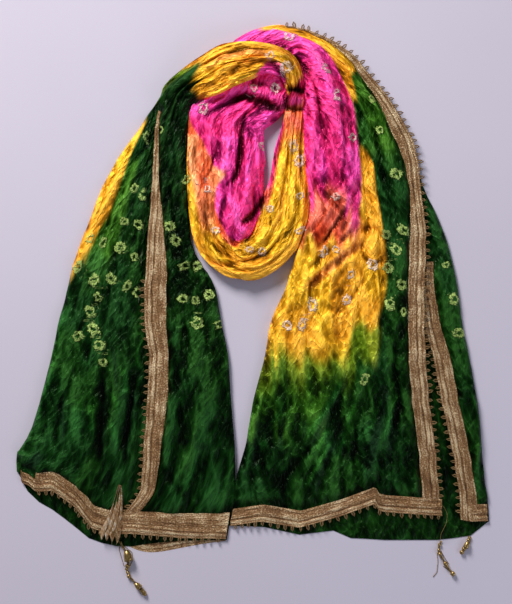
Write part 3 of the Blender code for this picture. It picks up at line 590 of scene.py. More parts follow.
def knotRing(tree, uv, place):
    # a tied knot leaves a pale squarish ring with the dye in its middle
    parts = addNode(tree, "ShaderNodeSeparateXYZ", links={"Vector": place}).outputs
    squares = [mathNode(tree, "POWER", mathNode(tree, "ABSOLUTE", parts[side]), ringLook["square"])
               for side in ("X", "Y")]
    radius = mathNode(tree, "POWER", mathNode(tree, "ADD", *squares), 1 / ringLook["square"])
    wobble = noiseNode(tree, uv, ringLook["wobble"], 1.5).outputs["Fac"]
    offset = mathNode(tree, "MULTIPLY_ADD", wobble, *ringLook["shift"])
    away = mathNode(tree, "ADD", radius, offset)
    inner = rangeNode(tree, away, ringLook["inner"], kind="SMOOTHSTEP")
    outer = rangeNode(tree, away, ringLook["outer"], kind="SMOOTHSTEP")
    return mathNode(tree, "MULTIPLY", mathNode(tree, "MULTIPLY", inner, outer), parts["Z"])


def crinkledSilk():
    # mulberry silk, wrung and dried: a soft satin gloss on sharp small creases, with painted shade dark
    # in the folds and painted highlights on the crests
    made, tree, shader = newMaterial("crinkled tie-dyed silk")
    dyeAndPaintedLight, knot, pale, paintedFoldShade = [addNode(tree, "ShaderNodeAttribute", {"attribute_name": name})
                               for name in ("dyeAndPaintedLight", "knotPlace", "knotPale", "paintedFoldShade")]
    uv = addNode(tree, "ShaderNodeUVMap", {"uv_map": "cloth"}).outputs[0]
    layers = [creaseNoise(tree, uv, settings, 0.37 * number)
              for number, settings in enumerate(silkLook["creases"])]
    layers += [facetNoise(tree, uv, settings, 0.91 * number)
               for number, settings in enumerate(silkLook["facets"])]
    height = layers[0]
    for layer in layers[1:]:
        height = mathNode(tree, "ADD", height, layer)
    # painted highlights on crests and painted shade in valleys, from the folds themselves and from the
    # fine creases
    total = mathNode(tree, "MULTIPLY_ADD", height, silkLook["fine"], paintedFoldShade.outputs["Fac"])
    paintedLightAndShade = rangeNode(tree, total, silkLook["reach"], silkLook["paintedLightAndShade"])
    deep = rangeNode(tree, total, silkLook["reach"], silkLook["deep"])
    dyeWithPaintedShade = addNode(tree, "ShaderNodeGamma", links={"Color": dyeAndPaintedLight.outputs["Color"], "Gamma": deep})
    dyed = addNode(tree, "ShaderNodeVectorMath", {"operation": "SCALE"},
                   {0: dyeWithPaintedShade.outputs[0], "Scale": paintedLightAndShade})
    shown = knotRing(tree, uv, knot.outputs["Vector"])
    speckle = noiseNode(tree, uv, ringLook["speckle"], 2.0).outputs["Fac"]
    # the ring is speckled, and painted fainter in shaded valleys and stronger on crests
    spottedAndPaintedShade = mathNode(tree, "MULTIPLY", rangeNode(tree, speckle, *ringLook["patchy"]),
                       rangeNode(tree, total, *ringLook["paintedShadeOnRing"]))
    veiled = mathNode(tree, "MULTIPLY", shown, spottedAndPaintedShade, clamp=True)
    colour = addNode(tree, "ShaderNodeMix", {"data_type": "RGBA"},
                     {"Factor": veiled, 6: dyed.outputs[0], 7: pale.outputs["Color"]})
    tree.links.new(colour.outputs[2], shader.inputs["Base Color"])
    puckered = mathNode(tree, "MULTIPLY_ADD", shown, ringLook["pucker"], height)
    addBump(tree, shader, puckered, 1.0, silkLook["bump"])
    times, plus = silkLook["tint"]
    tint = addNode(tree, "ShaderNodeVectorMath", {"operation": "MULTIPLY_ADD", 1: times, 2: plus},
                   {0: dyeAndPaintedLight.outputs["Color"]})
    tree.links.new(tint.outputs[0], shader.inputs["Specular Tint"])
    shader.inputs["Roughness"].default_value = silkLook["rough"]
    shader.inputs["Specular IOR Level"].default_value = silkLook["gloss"]
    return made


def gotaRibbon(name, look):
    # a ribbon woven of flat metallic yarn over brown silk: stripes, broken and worn, with painted glints
    made, tree, shader = newMaterial(name)
    uv = addNode(tree, "ShaderNodeUVMap", {"uv_map": "cloth"}).outputs[0]
    grain = noiseNode(tree, stretchedNode(tree, uv, look["yarn"]), 1.0, 2.0, 0.7)
    warp = noiseNode(tree, stretchedNode(tree, uv, look["warp"]), 1.0, 1.5)
    # the stripes across the width, brown where the silk shows between the yarns
    sway = noiseNode(tree, uv, 60.0, 1.0)
    split = addNode(tree, "ShaderNodeSeparateXYZ", links={"Vector": uv})
    moved = mathNode(tree, "MULTIPLY_ADD", sway.outputs["Fac"], 0.0016, split.outputs["X"])
    stripes = rampNode(tree, rangeNode(tree, moved, look["wide"]),
                       [(at, (level, level, level)) for at, level in look["stripes"]])
    # worn stretches a few centimetres long, painted brighter as glints
    wearAndGlintPatches = noiseNode(tree, uv, look["patch"], 3.0)
    total = None
    for weight, source in ((look["grain"], grain.outputs["Fac"]), (0.9, warp.outputs["Fac"]),
                           (look["striped"], stripes), (1.5, wearAndGlintPatches.outputs["Fac"])):
        part = mathNode(tree, "MULTIPLY_ADD", source, weight, -0.5 * weight)
        total = part if total is None else mathNode(tree, "ADD", total, part)
    spread = rangeNode(tree, total, (-0.62, 0.62))
    dark, middle, light = [linear(tone) for tone in look["tones"]]
    tones = rampNode(tree, spread, ((0.0, dark), (0.52, middle), (1.0, light)))
    tree.links.new(tones, shader.inputs["Base Color"])
    addBump(tree, shader, total, 1.0, look["bump"])
    tree.links.new(rangeNode(tree, spread, (0.0, 1.0), look["rough"]), shader.inputs["Roughness"])
    shader.inputs["Metallic"].default_value = look["metal"]
    return made


beadLook = {"tones": ((0.3, "#6E5322"), (0.7, "#CDB276")), "grain": 700.0, "bump": 0.0004,
            "metal": 0.85, "rough": 0.28}


def goldBead():
    # small pressed brass beads and knots of gilt cord: bright and slightly uneven
    made, tree, shader = newMaterial("gilt brass beads and cord")
    place = addNode(tree, "ShaderNodeTexCoord")
    noise = noiseNode(tree, place.outputs["Object"], beadLook["grain"], 2.0).outputs["Fac"]
    tones = rampNode(tree, noise, [(at, linear(tone)) for at, tone in beadLook["tones"]])
    tree.links.new(tones, shader.inputs["Base Color"])
    addBump(tree, shader, noise, 0.5, beadLook["bump"])
    shader.inputs["Metallic"].default_value = beadLook["metal"]
    shader.inputs["Roughness"].default_value = beadLook["rough"]
    return made


silk = crinkledSilk()
gotaLook = {
    # dark, middle and bright tone, the bright one a painted glint; weight of the grain and the stripes;
    # the patches' scale
    "tones": ("#472A12", "#9A7246", "#FFEABF"), "grain": 1.8, "striped": 0.50, "patch": 34.0,
    # crossings of the yarn, about 1 mm in the real ribbon and drawn twice as coarse to show
    "yarn": (0.0019, 0.0027),
    # lengthwise warp lines about 2 mm apart that waver and break off
    "warp": (0.0022, 0.026),
    # place across the width and brightness of each stripe
    "stripes": ((0.0, 0.62), (0.10, 0.80), (0.15, 0.30), (0.20, 0.42), (0.24, 0.92), (0.38, 0.95),
                (0.43, 0.0), (0.48, 0.0), (0.53, 0.75), (0.70, 0.50), (0.80, 0.45), (0.85, 0.20),
                (0.90, 0.72), (1.0, 0.66)),
    "wide": (0.0008, 0.0263), "bump": 0.0011, "rough": (0.60, 0.26), "metal": 0.30,
}
gota = gotaRibbon("antique gold gota ribbon", gotaLook)
# the gathered ribbon with lighter tones and many small patches of painted glints
gatheredGota = gotaRibbon("gathered gota ribbon", gotaLook | {
    "tones": ("#5A3A1E", "#BC9668", "#FFF8E6"), "striped": 0.3, "patch": 150.0, "metal": 0.45})
picotYarn = gotaRibbon("gilt picot yarn", gotaLook | {
    "tones": ("#80603C", "#B8925E", "#EED8AC"), "striped": 0.0})
brass = goldBead()
print("materials made")

sheetSize = {"rows": 488, "under": 60, "turn": 5, "bottom": 16, "over": 110}


def clothRows():
    # places spaced evenly along the stole's length, with the route's length at each
    fine = np.linspace(0, lastPlace, 4000)
    p = placesAt(fine)
    middle = np.stack([(p["lx"] + p["rx"]) / 2, (p["ly"] + p["ry"]) / 2], -1) * squareSize
    outer = np.stack([p["lx"], p["ly"]], -1) * squareSize
    steps = 0.5 * (np.linalg.norm(np.diff(middle, axis=0), axis=1)
                   + np.linalg.norm(np.diff(outer, axis=0), axis=1))
    run = np.concatenate([[0], np.cumsum(steps)])
    wanted = np.linspace(0, run[-1], sheetSize["rows"])
    return np.interp(wanted, run, fine), wanted


rowPlaces, rowRuns = clothRows()
wide, rowTable = widthAt(rowPlaces)


def clothColumns():
    # distance across at each column of the three layers, and how far the sides are tucked in
    tuck = 0.001 * rowTable["tuck"]
    first, last = 0.001 * rowTable["inset"] + tuck, wide - tuck
    ends = {"under": (rowTable["under"] * wide, first), "bottom": (first, last),
            "over": (last, rowTable["over"] * wide)}
    columns = {}
    for layer, (start, end) in ends.items():
        s = np.linspace(0, 1, sheetSize[layer])[None, :]
        columns[layer] = start[:, None] + (end - start)[:, None] * s
    return columns, tuck


def buildCloth():
    # the lower flap, the bottom layer and the upper flap, with a turn between each two
    columns, tuck = clothColumns()
    under, bottom, over = [
        clothShape(np.broadcast_to(rowPlaces[:, None], across.shape), across, layer)
        for layer, across in columns.items()]
    p = rowTable
    way = np.stack([p["rx"] - p["lx"], p["ly"] - p["ry"], 0 * p["lx"]], -1)
    way = way / np.linalg.norm(way, axis=-1)[:, None]
    angle = np.pi * (np.arange(sheetSize["turn"]) + 1) / (sheetSize["turn"] + 1)
    reach = (tuck[:, None] * np.sin(angle)[None, :])[..., None]
    turns = []
    for upper, lower, outward in ((under[:, -1], bottom[:, 0], -1), (over[:, 0], bottom[:, -1], 1)):
        # from the lower edge round the outside to the upper one
        middle, half = (upper + lower) / 2, (upper - lower) / 2
        turns.append(middle[:, None] - half[:, None] * np.cos(angle)[None, :, None]
                     + outward * way[:, None] * reach)
    points = np.concatenate([under, turns[0][:, ::-1], bottom, turns[1], over], 1)
    counts = [sheetSize[part] for part in ("under", "turn", "bottom", "turn", "over")]
    return points, np.repeat([0, 1, 2, 3, 4], counts)[None, :]


points, layers = buildCloth()
tGrid = np.broadcast_to(rowPlaces[:, None], points.shape[:2])
isUnder, isBottom, isOver = layers <= 1, layers == 2, layers >= 3
isTop = isUnder | isOver
rowStart = layoutPlan(rowTable["lx"], rowTable["ly"])
rowWays = np.stack([rowTable["rx"] - rowTable["lx"], rowTable["ly"] - rowTable["ry"]], -1)
rowWays = rowWays * squareSize / wide[:, None]
acrossPlan = np.einsum("rcd,rd->rc", points[..., :2] - rowStart[:, None], rowWays)
shares = np.clip(acrossPlan / wide[:, None], 0, 1)
# the cloth's own pattern: closer together where the stole is bunched, other creases below
pattern = {"least": 0.085, "wider": 0.61, "below": 0.73}
clothU = shares * (pattern["least"] + pattern["wider"] * wide)[:, None]
clothU = clothU + np.where(isOver, 0, pattern["below"])
clothV = np.broadcast_to(rowRuns[:, None], clothU.shape)

# where the cloth lies calm: the front ribbons' last and first place, the short one's first, places
# to a hem, and the soft edges of these; then under the upper flap, and the bottom layer's share
calmLook = {"front": (14.5, 48), "short": 57, "hem": 1.05, "hemSoft": 0.25, "soft": 0.008,
            "flap": 0.003, "flapSoft": 0.012, "bottom": 0.12}


def clothStrength():
    # how strongly the cloth is creased: 0 under a ribbon or a flap and 1 away from them
    t, band = rowPlaces[:, None], (rowTable["band"] * squareSize)[:, None]
    underEnd, overEnd = [(rowTable[layer] * wide)[:, None] for layer in ("under", "over")]
    front = (t < calmLook["front"][0]) | (t > calmLook["front"][1])
    overGap = np.where(front, np.abs(acrossPlan - overEnd) - band, 1)
    shortGap = np.where(t > calmLook["short"], np.abs(acrossPlan - underEnd) - band, 1)
    hemGap = np.minimum(t, lastPlace - t) - calmLook["hem"]
    hidden = smooth((overEnd - calmLook["flap"] - acrossPlan) / calmLook["flapSoft"])
    found = smooth(hemGap / calmLook["hemSoft"])
    found = found * np.where(isOver, smooth(overGap / calmLook["soft"]), 1)
    found = found * np.where(isUnder, smooth(shortGap / calmLook["soft"]) * hidden, 1)
    return found * np.where(isBottom, calmLook["bottom"], 1)


strength = clothStrength()
crinkled = crinkleField(clothU, clothV)
creased = creaseField(points[..., :2])
shaded = np.maximum(strength, 0.7 * isTop)
# what the material takes for the folds' height in its painted light and shade: the lower layers are
# painted a little lighter, as if raised
paintedShadeHeight = ((crinkled + creased * 1.15) * shaded + np.where(isOver, 0, 0.0007)
                + 0.0016 * (1 - strength) * isBottom)
# thin places are puffed up, so that no valley reaches the layer below
room = points[..., 2] - 0.001 * rowTable["lift"][:, None] - clothThick / 2 - layerStep
puffed = 0.0026 * strength * isTop * smooth((0.014 - room) / 0.006)
pressed = np.maximum(creased * strength, -0.6 * np.maximum(room, 0) - 0.8 * puffed) + puffed

normals = np.cross(np.gradient(points, axis=0), np.gradient(points, axis=1))
normals = normals / np.maximum(np.linalg.norm(normals, axis=-1), 1e-12)[..., None]
normals = normals * np.where(isTop, np.sign(normals[..., 2] + 1e-9), 1)[..., None]
isTurn = (layers == 1) | (layers == 3)
points = points + normals * (crinkled * strength * np.where(isTurn, 0.4, 1))[..., None]
points[..., 2] += pressed
print("cloth shaped", points.shape)

# each dye with a second tone that shows in soft patches; the rust-red, dark brown, wine and near-black
# tones are painted shade for the folds' valleys, and the salmon, pink and light green ones painted
# highlights for their crests
dyeAndPaintedTones = {
    "green": ("#12330D", "#0E2E0E"), "deepGreen": ("#0C270A", "#0A240B"),
    "yellow": ("#ECB62E", "#E4A02B"), "orange": ("#F07448", "#F09A66"),
    "coral": ("#F0755E", "#EA5A3A"), "magenta": ("#E23680", "#E8449E"),
    "darkMagenta": ("#7E1638", "#8E1034"), "yellowGreen": ("#5F7A1A", "#7C8A22"),
    "rustFoldShade": ("#B23A12", "#C0501A"), "umberFoldShade": ("#3E0E16", "#4A1018"), "salmonHighlight": ("#F0836C", "#F28A5A"),
    "pinkHighlight": ("#EC4CA8", "#EC559A"), "wineFoldShade": ("#8E1034", "#9A1A30"),
    "leafHighlight": ("#1F5216", "#1A4A1A"), "moss": ("#24501A", "#34601A"), "pitch": ("#061409", "#08180C"),
}

# dyed areas in the order that they are laid over the green: name of the dye, softness across,
# softness along in places, streakiness along, then place, from share, to share
dyeAreas = (
    ("deepGreen", 0.05, 1.0, 0.3, ((9, 0.57, 1), (15, 0.25, 1), (17, 0.3, 1))),
    ("moss", 0.08, 1.0, 0.6, ((7.6, 0.05, 0.26), (9, 0.14, 0.30), (10, 0.15, 0.30), (11.5, 0.1, 0.28))),
    ("moss", 0.06, 1.2, 0.5, ((51.6, 0.0, 0.5), (53, 0.15, 0.5), (54.6, 0.18, 0.5))),
    ("moss", 0.14, 1.4, 1.2, ((60.0, 0.50, 1.1), (62.3, 0.58, 1.1))),
    ("yellow", 0.04, 0.9, 0.6, ((7.7, -0.1, 0.08), (9, -0.1, 0.145), (10, -0.1, 0.155),
                                (11, -0.1, 0.145), (12, -0.1, 0.12), (13.6, -0.1, 0.07))),
    ("yellowGreen", 0.05, 0.9, 0.6, ((14.9, -0.1, 0.10), (16, -0.1, 0.18), (17.2, -0.1, 0.24))),
    ("yellow", 0.08, 0.7, 0.9, ((17.4, 0, 1.1), (36.5, 0, 1.1))),
    ("yellow", 0.05, 0.6, 0.4, ((36, 0, 1.1), (40, 0, 0.5), (42, 0, 0.2))),
    ("orange", 0.1, 0.9, 0.5, ((24.4, -0.1, 1.1), (26.8, -0.1, 1.1))),
    ("orange", 0.08, 1.0, 0.4, ((36.4, 0.16, 0.6), (38, 0.10, 0.5), (38.6, 0.02, 0.7), (40, 0, 0.4),
                                (42, 0, 0.2))),
    ("coral", 0.06, 0.5, 0.3, ((34.8, 0.70, 1.1), (35.8, 0.48, 1.1), (36.6, 0.37, 1.1),
                               (37.4, 0.33, 0.7))),
    ("darkMagenta", 0.1, 0.5, 0.2, ((23.9, 0.2, 1.2), (25.3, -0.1, 1.1))),
    ("magenta", 0.05, 0.5, 0.1, ((20.3, 1.0, 1.2), (21.0, 0.74, 1.2), (22.0, 0.74, 1.2),
                                 (22.7, 0.95, 1.2))),
    ("coral", 0.10, 0.6, 0.5, ((26.2, 0.80, 1.1), (29.6, 0.84, 1.1))),
    ("magenta", 0.05, 0.5, 0.3, ((26.4, 0.91, 1.1), (28.6, 0.93, 1.1))),
    ("magenta", 0.04, 0.5, 0.25, ((35.3, 0.74, 1.1), (36, 0.56, 1.1), (36.6, 0.44, 1.1),
                                 (37.2, 0.38, 1.1), (38, 0.41, 1.1), (38.45, 0.52, 1.1),
                                 (38.9, 0.36, 1.1), (39.3, 0.28, 1.1),
                                 (40, 0.2, 1.1), (41, 0.04, 1.1), (42, -0.1, 1.1),
                                 (46, -0.1, 1.1), (47, 0.10, 1.1), (48, 0.20, 1.1), (49, 0.34, 1.1),
                                 (50, 0.32, 1.1), (51, 0.38, 1.1), (52, 0.43, 1.1),
                                 (53, 0.475, 1.1), (54, 0.505, 1.1), (55, 0.54, 1.1),
                                 (56, 0.58, 1.1), (57.0, 0.63, 1.1))),
    ("yellow", 0.03, 0.5, 0.3, ((46.6, -0.1, 0.10), (48, -0.1, 0.20), (49, -0.1, 0.34),
                               (50, -0.1, 0.32), (51, 0.04, 0.38), (52, 0.32, 0.43),
                               (52.8, 0.41, 0.47))),
    ("yellow", 0.02, 0.4, 0.3, ((54.6, 0.44, 0.53), (55, 0.41, 0.54), (56, 0.43, 0.58),
                               (57, 0.45, 0.63), (58, 0.43, 0.62))),
    ("coral", 0.1, 0.8, 0.9, ((56.3, 0.70, 1.1), (57.7, 0.66, 1.1))),
    ("coral", 0.08, 0.6, 0.6, ((57.3, 0.62, 0.80), (58.5, 0.58, 0.74))),
    ("yellowGreen", 0.04, 1.3, 0.6, ((59.6, 0.44, 1.1), (60.6, 0.46, 1.1), (61.3, 0.56, 1.1))),
    ("yellow", 0.04, 0.8, 0.4, ((57.8, 0.43, 1.1), (58, 0.43, 1.1), (59, 0.42, 1.1),
                                (60, 0.445, 1.1), (60.8, 0.60, 1.1))),
    ("yellowGreen", 0.06, 0.5, 0.5, ((60.0, 0.43, 0.54), (60.8, 0.46, 0.62))),
)


# streaks along single folds, seen from above: the magenta and coral ones are dye; the orange, rust-red,
# wine, dark brown and near-black ones lie in valleys as painted shade; the salmon, pink and light green
# ones lie on crests as painted highlights; tone, depth of colour, half width, route
dyeAndPaintedLightStreaks = (
    ("orange", 0.6, 6, ((365, 241), (346, 254), (328, 269), (303, 291))),
    ("rustFoldShade", 0.6, 4, ((350, 205), (336, 226), (320, 250))),
    ("rustFoldShade", 0.6, 3, ((341, 194), (326, 212), (314, 232))),
    ("salmonHighlight", 0.8, 3, ((352, 196), (338, 217), (324, 242))),
    ("salmonHighlight", 0.8, 3, ((357, 218), (345, 236), (335, 248))),
    ("magenta", 0.9, 6, ((354, 180), (355, 204), (354, 224), (350, 236))),
    ("pinkHighlight", 0.8, 3, ((348, 176), (348, 200), (343, 222))),
    ("magenta", 0.9, 3, ((311, 182), (312, 200), (311, 216))),
    ("rustFoldShade", 0.5, 2.5, ((361, 226), (370, 230), (379, 229))),
    ("wineFoldShade", 0.9, 6, ((226, 104), (246, 98), (264, 103), (282, 108))),
    ("umberFoldShade", 0.9, 5, ((262, 106), (276, 111), (286, 106), (289, 96))),
    ("umberFoldShade", 0.9, 3.5, ((287, 93), (295, 92), (305, 95))),
    ("coral", 0.9, 5, ((287, 116), (295, 122), (300, 132))),
    ("magenta", 0.8, 5, ((290, 104), (297, 104), (303, 105))),
    ("orange", 0.5, 4, ((200, 76), (224, 62), (250, 56), (276, 58))),
    ("wineFoldShade", 0.9, 5, ((266, 193), (259, 207), (247, 221), (240, 228))),
    ("wineFoldShade", 0.7, 4, ((242, 120), (241, 150), (236, 178), (226, 190))),
    ("pinkHighlight", 0.7, 5, ((226, 196), (237, 210), (238, 226), (248, 238))),
    ("pinkHighlight", 0.6, 4, ((250, 140), (250, 165), (243, 190))),
    ("pinkHighlight", 0.6, 4, ((222, 130), (226, 150), (222, 172))),
    ("salmonHighlight", 0.7, 3, ((212, 178), (220, 176), (228, 174))),
    ("rustFoldShade", 0.5, 4, ((208, 262), (222, 266), (236, 264))),
    ("rustFoldShade", 0.45, 4, ((206, 196), (212, 214), (224, 232))),
    ("rustFoldShade", 0.35, 5, ((236, 70), (262, 62), (284, 72))),
    ("pinkHighlight", 0.6, 4, ((300, 42), (318, 62), (328, 92))),
    ("pinkHighlight", 0.6, 4, ((318, 120), (316, 150), (318, 180))),
    ("pinkHighlight", 0.5, 4, ((340, 120), (344, 150), (342, 172))),
    ("wineFoldShade", 0.5, 4, ((300, 62), (313, 84), (318, 112))),
    # painted shade and painted highlights of the folds that fan out on the right end
    ("pitch", 0.85, 6, ((350, 368), (337, 394), (324, 417), (311, 442), (296, 453))),
    ("pitch", 0.8, 5, ((345, 413), (333, 440), (327, 458), (318, 477), (311, 502))),
    ("pitch", 0.85, 7, ((379, 373), (384, 394), (380, 412), (373, 442), (368, 464), (369, 483))),
    ("pitch", 0.8, 6, ((399, 394), (394, 419), (390, 445), (386, 468))),
    ("pitch", 0.7, 3.5, ((287, 413), (281, 432), (276, 451))),
    ("pitch", 0.75, 4.5, ((258, 409), (257, 432), (255, 458), (253, 477))),
    ("pitch", 0.6, 3, ((304, 413), (304, 432), (299, 442))),
    ("pitch", 0.6, 3.5, ((289, 464), (282, 489), (277, 506))),
    ("pitch", 0.75, 5, ((322, 463), (308, 483), (306, 508))),
    ("pitch", 0.7, 4, ((355, 438), (356, 451), (346, 456))),
    ("leafHighlight", 0.9, 3, ((347, 393), (338, 406), (329, 423), (317, 451), (306, 460))),
    ("leafHighlight", 0.9, 3, ((356, 395), (350, 417), (343, 438), (337, 460))),
    ("leafHighlight", 0.8, 4, ((344, 374), (330, 401), (315, 424), (306, 441))),
    ("leafHighlight", 0.8, 3, ((333, 432), (324, 452), (314, 470), (303, 489))),
    ("leafHighlight", 0.9, 3, ((372, 385), (379, 401), (371, 424), (358, 440))),
    ("leafHighlight", 0.7, 3, ((393, 381), (395, 394), (388, 418), (385, 441))),
    ("leafHighlight", 0.7, 4, ((286, 396), (283, 409), (271, 422), (263, 445), (261, 464))),
    ("leafHighlight", 0.8, 2.5, ((355, 459), (366, 470))),
    # painted shade and painted highlights of the long folds of the left end
    ("pitch", 0.85, 5.5, ((103, 371), (104, 396), (104, 424), (101, 452), (100, 467))),
    ("pitch", 0.8, 5, ((137, 382), (132, 407), (127, 431), (124, 459))),
    ("pitch", 0.75, 4, ((64, 388), (62, 410), (65, 431), (59, 446))),
    ("pitch", 0.6, 2.5, ((83, 402), (82, 424))),
    ("pitch", 0.65, 3.5, ((110, 337), (115, 357), (118, 393))),
    ("pitch", 0.7, 6, ((178, 346), (186, 371))),
    ("pitch", 0.7, 4, ((171, 438), (195, 443), (216, 450))),
    ("pitch", 0.85, 8, ((24, 466), (34, 462), (44, 451))),
    ("leafHighlight", 0.6, 7, ((72, 290), (66, 310), (56, 340), (48, 382), (38, 414))),
    ("leafHighlight", 0.6, 7, ((80, 396), (76, 424), (75, 440))),
    ("leafHighlight", 0.7, 5, ((93, 393), (92, 410), (90, 436))),
    ("leafHighlight", 0.8, 3, ((112, 392), (118, 403), (115, 411))),
    ("leafHighlight", 0.7, 4, ((111, 419), (117, 438), (118, 457))),
    ("leafHighlight", 0.7, 3, ((143, 337), (138, 357), (137, 377))),
    ("leafHighlight", 0.6, 4, ((121, 365), (128, 379), (125, 396))),
    ("leafHighlight", 0.8, 4, ((200, 462), (192, 474), (184, 486))),
)


# width, length and seed of the noises that move the dyes' edges and mix their tones
dyeNoise = {"streak": (0.011, 0.09, 41), "drift": (0.03, 0.05, 42), "patch": (0.05, 0.12, 43),
            "second": (0.022, 0.060, 44)}


def dyeAndPaintedLightColours():
    streak, drift, patch, second = [valueNoise(clothU, clothV, *settings)
                                    for settings in dyeNoise.values()]
    streak, drift, patch = streak - 0.5, drift - 0.5, patch[..., None]
    second = smooth((second - 0.35) / 0.3)[..., None]
    tones = {name: np.array(linear(main)) * (1 - second) + np.array(linear(other)) * second
             for name, (main, other) in dyeAndPaintedTones.items()}
    colour = tones["green"] * (0.8 + 0.4 * patch)
    for name, softAcross, softAlong, streaky, rows in dyeAreas:
        table = np.array(rows, float)
        along = tGrid + streaky * (1.5 * streak + 0.7 * drift)
        start = np.interp(along, table[:, 0], table[:, 1])
        end = np.interp(along, table[:, 0], table[:, 2])
        share = shares + 0.03 * drift
        mask = smooth((share - start) / softAcross + 0.5) * smooth((end - share) / softAcross + 0.5)
        mask = mask * smooth((along - table[0, 0]) / softAlong + 0.5)
        mask = mask * smooth((table[-1, 0] - along) / softAlong + 0.5)
        colour = colour + (tones[name] - colour) * mask[..., None]
    # streaks along folds: dye, painted shade and painted highlights
    for name, depth, wide, route in dyeAndPaintedLightStreaks:
        off, ends = nearRoute(points[..., :2], wide, route)
        mask = depth * ends * smooth((1 - off) * 1.4) * isTop
        colour = colour + (tones[name] - colour) * mask[..., None]
    return colour


# tied dots, seen from above, on the layout's squares
knots = {
    "size": 1.2,
    # how far a dot reaches, where its cloth is looked for, and what lies on the same layer
    "reach": 0.026, "seat": 0.004, "layer": 0.007,
    # where a dot fades out, and the gap kept between two neighbours
    "fade": (0.0165, 0.004), "apart": (0.004, 0.004),
    # the raised ring: height, radius and width
    "pucker": (0.0011, 0.0038, 0.0018),
    "green": ((149, 139), (161, 131), (135, 189), (144, 195), (125, 222), (139, 225), (91, 239),
              (104, 243), (121, 248), (135, 257), (79, 267), (95, 280), (112, 279), (128, 286),
              (99, 297), (91, 312), (94, 329), (79, 336), (100, 345), (104, 362), (170, 227),
              (176, 241), (186, 266), (198, 266), (184, 299), (196, 300), (209, 295), (198, 323),
              (220, 324), (379, 131), (395, 175), (385, 235), (403, 231), (395, 250), (387, 268),
              (401, 285), (389, 304), (403, 312), (364, 379), (433, 374), (445, 265), (453, 299),
              (458, 333), (187, 181), (139, 293), (372, 100)),
    "warm": ((289, 39), (327, 71), (337, 98), (352, 139), (335, 198), (324, 252), (335, 250),
             (293, 148), (299, 162), (300, 197), (270, 210), (300, 231), (262, 252), (216, 231),
             (204, 110), (254, 90), (275, 90), (270, 60), (285, 72), (208, 190), (204, 181),
             (287, 325), (302, 324), (200, 183), (312, 305), (350, 275), (372, 265), (346, 300),
             (263, 147), (250, 250)),
}


def knotPlaces():
    place = np.zeros(clothU.shape + (3,))
    pale = np.ones(clothU.shape + (3,)) * 0.7
    nearest, second = np.full(clothU.shape, 9.0), np.full(clothU.shape, 9.0)
    random = np.random.default_rng(7)
    top = isTop & (strength > 0.3)
    for kind, tone, veil in (("green", "#B4D276", 1.0), ("warm", "#FFF0E2", 0.85)):
        for x, y in knots[kind]:
            off = points[..., :2] - layoutPlan(x, y)
            away = np.hypot(off[..., 0], off[..., 1])
            here = top & (away < knots["seat"])
            if not here.any():
                continue
            height = np.where(here, points[..., 2], -1).max()
            own = (top & (away < knots["reach"])
                   & (np.abs(points[..., 2] - height) < knots["layer"]))
            better = own & (away < nearest)
            second = np.where(better, nearest, np.where(own, np.minimum(second, away), second))
            turn, size = random.random() * 1.5, knots["size"] * (0.72 + 0.45 * random.random())
            size = size * (0.8 + 0.2 * veil)
            slim = 0.75 + 0.5 * random.random()
            cos, sin = math.cos(turn) / size, math.sin(turn) / size
            lean = 0.35 * (random.random() - 0.5)
            turned = np.stack([(off[..., 0] * cos - off[..., 1] * (sin + lean / size)) / slim,
                               (off[..., 0] * sin + off[..., 1] * cos) * slim,
                               veil * smooth((knots["fade"][0] - away) / knots["fade"][1])], -1)
            place[better] = turned[better]
            pale[better] = np.array(linear(tone)) * (0.72 + 0.5 * random.random())
            nearest[better] = away[better]
    # nothing is drawn where two knots meet
    gap, soft = knots["apart"]
    place[..., 2] *= smooth((second - nearest - gap) / soft)
    return place, pale


knotPlace, knotPale = knotPlaces()
high, middle, soft = knots["pucker"]
pucker = np.hypot(knotPlace[..., 0], knotPlace[..., 1])
points[..., 2] += knotPlace[..., 2] * high * np.exp(-((pucker - middle) / soft) ** 2)

cloth, rowOf, columnOf = gridPiece("silkStole", points, np.stack([clothU, clothV], -1))
faceColumns = np.arange(len(cloth.data.polygons)) % (clothU.shape[1] - 1)
insideOver = 110  # a column well inside the upper flap
faceUp(cloth, faceColumns > insideOver)
addColour(cloth, "dyeAndPaintedLight", dyeAndPaintedLightColours()[rowOf, columnOf])
knotField = cloth.data.attributes.new("knotPlace", "FLOAT_VECTOR", "POINT")
knotField.data.foreach_set("vector", knotPlace[rowOf, columnOf].astype(np.float32).ravel())
addColour(cloth, "knotPale", knotPale[rowOf, columnOf])
# painted fold shade for the material: darker where the folds lie low, lighter where they stand high
paintedFoldShade = np.clip(0.26 + paintedShadeHeight[rowOf, columnOf] / 0.0052, 0, 1.3)
addColour(cloth, "paintedFoldShade", np.stack([paintedFoldShade, paintedFoldShade, paintedFoldShade], 1))
cloth.data.materials.append(silk)
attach(cloth, "root")
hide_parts("stole_cloth")
print("cloth made", len(cloth.data.polygons) * 2, "triangles")
ribbonSize = {"columns": 17, "step": 0.004, "gap": 0.0005, "rib": 0.0010,
              "grooves": ((0.0, 0.7), (0.16, 0.5), (0.455, 1.0), (0.85, 0.5), (1.0, 0.7)),
              "waver": 0.0022}
picotSize = {"pitch": 0.0112, "long": 0.0062, "wide": 0.0026, "yarn": 0.00095}


